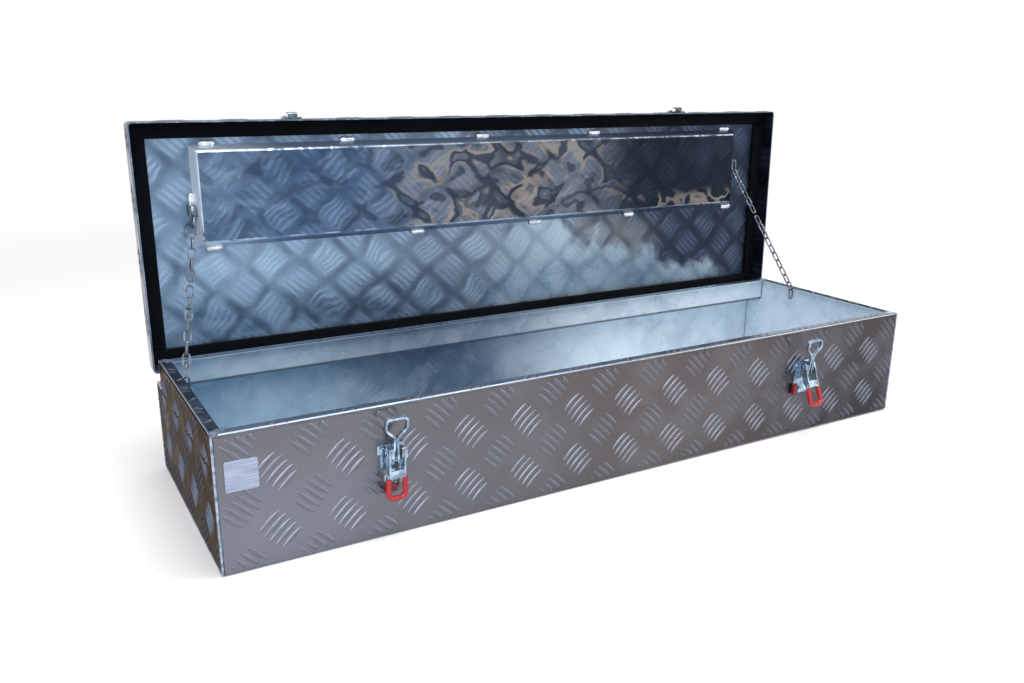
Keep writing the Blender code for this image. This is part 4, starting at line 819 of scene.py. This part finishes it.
# Chains, latches and keepers: pressed and bent steel, bright zinc plated with the faint blue and straw
# bloom that plating has, and speckled. The keepers are darker than the latches, and the right keeper's much
# darker copy of the zinc is painted shade.
zinc_bloom, given, put_out = new_group(
    "zinc_bloom", [("Where", "Vector"), ("Plate Colour", "Color"), ("Shade Colour", "Color")],
    [("Colour", "Color"), ("Roughness", "Float"), ("Height", "Float")])
bloom = mottle(zinc_bloom, given["Where"], 70.0, 3.0, warp=0.8)
grain = mottle(zinc_bloom, given["Where"], 520.0, 3.0)
colour = tint(zinc_bloom, between(zinc_bloom, bloom, 0.34, 0.66),
              given["Plate Colour"], given["Shade Colour"])
colour = tint(zinc_bloom, between(zinc_bloom, bloom, 0.55, 0.7, 0.0, 0.35), colour, tone(206, 196, 150))
colour = tint(zinc_bloom, between(zinc_bloom, grain, 0.6, 0.75, 0.0, 0.5), colour, tone(70, 80, 96))
feed(zinc_bloom, put_out["Colour"], colour)
feed(zinc_bloom, put_out["Roughness"], between(zinc_bloom, bloom, 0.3, 0.7, 0.16, 0.34))
feed(zinc_bloom, put_out["Height"], grain)


def zinc_finish(name, plate, shade):
    """Zinc plate in its own two tones."""
    made, tree, shader, where, axis = new_finish(name, 0.88)
    bloom = use_group(tree, zinc_bloom, Where=where, Plate_Colour=plate, Shade_Colour=shade)
    feed(tree, shader["Base Color"], bloom["Colour"])
    feed(tree, shader["Roughness"], bloom["Roughness"])
    emboss(tree, shader, bloom["Height"], 0.00008)
    return made


for start, finish_name, plate, shade in (
        ("chain_", "chain_zinc", tone(138, 146, 160), tone(74, 78, 88)),
        ("latch_", "latch_zinc", tone(184, 204, 222), tone(100, 124, 152)),
        ("keeper_left", "keeper_left_zinc", tone(118, 140, 156), tone(60, 82, 98)),
        ("keeper_right", "keeper_right_zinc_shaded", tone(70, 84, 92), tone(30, 38, 44))):
    dress([name for name in nodes if name.startswith(start) and not name.endswith(("_grip", "_catch_tip"))],
          zinc_finish(finish_name, plate, shade))


# The latches' finger grips and safety tips: soft red vinyl, dipped over the wire,
# glossy, a little uneven and scuffed.
def vinyl_finish(name, colour, worn, roughness):
    """Dipped vinyl with scuffs."""
    made, tree, shader, where, axis = new_finish(name, 0.0, roughness)
    shader["Coat Weight"].default_value = 0.2
    shader["Coat Roughness"].default_value = 0.2
    scuffs = mottle(tree, where, 240.0, 4.0, warp=0.6)
    feed(tree, shader["Base Color"], tint(tree, between(tree, scuffs, 0.52, 0.75), colour, worn))
    feed(tree, shader["Roughness"], between(tree, scuffs, 0.3, 0.7, roughness - 0.1, roughness + 0.15))
    emboss(tree, shader, mottle(tree, where, 150.0, 3.0), 0.0002)
    return made


dress(["latch_left_grip", "latch_right_grip"],
      vinyl_finish("grip_vinyl", tone(164, 4, 12), tone(184, 30, 40), 0.34))
dress(["latch_left_catch_tip", "latch_right_catch_tip"],
      vinyl_finish("tip_vinyl", tone(112, 8, 24), tone(150, 34, 48), 0.42))


# The room: a plain pale floor that fades into a white background, a big soft light
# from the upper left, a softer one from the right, and the camera.
FLOOR_FADE = (1.1, 2.6)
FLOOR_RADIUS = 6.0
FLOOR_DROP = 0.0004
SOFT_STRENGTH = 0.62
bm = bmesh.new()
bmesh.ops.create_circle(bm, cap_ends=True, segments=96, radius=FLOOR_RADIUS)
floor_mesh = bpy.data.meshes.new("floor")
bm.to_mesh(floor_mesh)
bm.free()
floor = bpy.data.objects.new("floor", floor_mesh)
floor.location = (0.0, 0.0, -FLOOR_DROP)
bpy.context.scene.collection.objects.link(floor)
floor_paint = bpy.data.materials.new("pale_floor")
floor_paint.use_nodes = True
tree = floor_paint.node_tree
shader = tree.nodes["Principled BSDF"]
shader.inputs["Base Color"].default_value = tone(246, 246, 247)
shader.inputs["Roughness"].default_value = 0.9
place = tree.nodes.new("ShaderNodeTexCoord").outputs["Object"]
reach = tree.nodes.new("ShaderNodeVectorMath")
reach.operation = 'LENGTH'
tree.links.new(place, reach.inputs[0])
clear = tree.nodes.new("ShaderNodeBsdfTransparent")
fade = tree.nodes.new("ShaderNodeMixShader")
feed(tree, fade.inputs[0], between(tree, reach.outputs["Value"], *FLOOR_FADE))
tree.links.new(shader.outputs[0], fade.inputs[1])
tree.links.new(clear.outputs[0], fade.inputs[2])
tree.links.new(fade.outputs[0], tree.nodes["Material Output"].inputs["Surface"])
floor_mesh.materials.append(floor_paint)

# The world lights the scene softly, and is plain white to the camera and in reflections.
world = bpy.data.worlds.new("studio")
bpy.context.scene.world = world
world.use_nodes = True
tree = world.node_tree
soft = tree.nodes["Background"]
soft.inputs["Color"].default_value = (1.0, 1.0, 1.0, 1.0)
soft.inputs["Strength"].default_value = SOFT_STRENGTH
white = tree.nodes.new("ShaderNodeBackground")
white.inputs["Color"].default_value = (1.0, 1.0, 1.0, 1.0)
white.inputs["Strength"].default_value = 1.0
ray = tree.nodes.new("ShaderNodeLightPath").outputs
seen = reckon(tree, 'MAXIMUM', ray["Is Camera Ray"],
              reckon(tree, 'MAXIMUM', ray["Is Glossy Ray"], ray["Is Transmission Ray"]))
pick = tree.nodes.new("ShaderNodeMixShader")
tree.links.new(seen, pick.inputs[0])
tree.links.new(soft.outputs[0], pick.inputs[1])
tree.links.new(white.outputs[0], pick.inputs[2])
tree.links.new(pick.outputs[0], tree.nodes["World Output"].inputs["Surface"])


def hang_light(name, location, target, width, height, power):
    """A soft panel of light aimed at a point."""
    lamp = bpy.data.lights.new(name, 'AREA')
    lamp.shape = 'RECTANGLE'
    lamp.size, lamp.size_y = width, height
    lamp.energy = power
    holder = bpy.data.objects.new(name, lamp)
    holder.location = location
    holder.rotation_euler = (Vector(target) - Vector(location)).to_track_quat('-Z', 'Y').to_euler()
    bpy.context.scene.collection.objects.link(holder)


hang_light("key", (-1.7, -1.6, 2.2), (0.0, 0.0, 0.1), 1.2, 1.2, 26.0)
hang_light("fill", (2.0, -1.3, 1.5), (0.1, 0.0, 0.1), 1.0, 1.6, 14.0)
hang_light("top", (0.25, -0.35, 2.3), (0.1, 0.0, 0.1), 2.2, 1.0, 42.0)

# The camera stands to the front left, a little above the open lid's top edge.
CAMERA_AT = (-0.6562, -0.9994, 0.4875)
FOCAL_PIXELS = 907.9
PICTURE_WIDTH = 1024.0
SENSOR = 36.0
azimuth, elevation, roll = 0.5266, -0.2852, 0.0089
forward = Vector((math.sin(azimuth) * math.cos(elevation), math.cos(azimuth) * math.cos(elevation),
                  math.sin(elevation)))
right = Vector((math.cos(azimuth), -math.sin(azimuth), 0.0))
above = right.cross(forward)
across = right * math.cos(roll) + above * math.sin(roll)
upward = above * math.cos(roll) - right * math.sin(roll)
eye = bpy.data.cameras.new("camera")
eye.sensor_width = SENSOR
eye.lens = FOCAL_PIXELS / PICTURE_WIDTH * SENSOR
camera = bpy.data.objects.new("camera", eye)
camera.matrix_world = Matrix.Translation(CAMERA_AT) @ Matrix(
    (across, upward, -forward)).transposed().to_4x4()
bpy.context.scene.collection.objects.link(camera)
bpy.context.scene.camera = camera
bpy.context.scene.view_settings.view_transform = 'Standard'
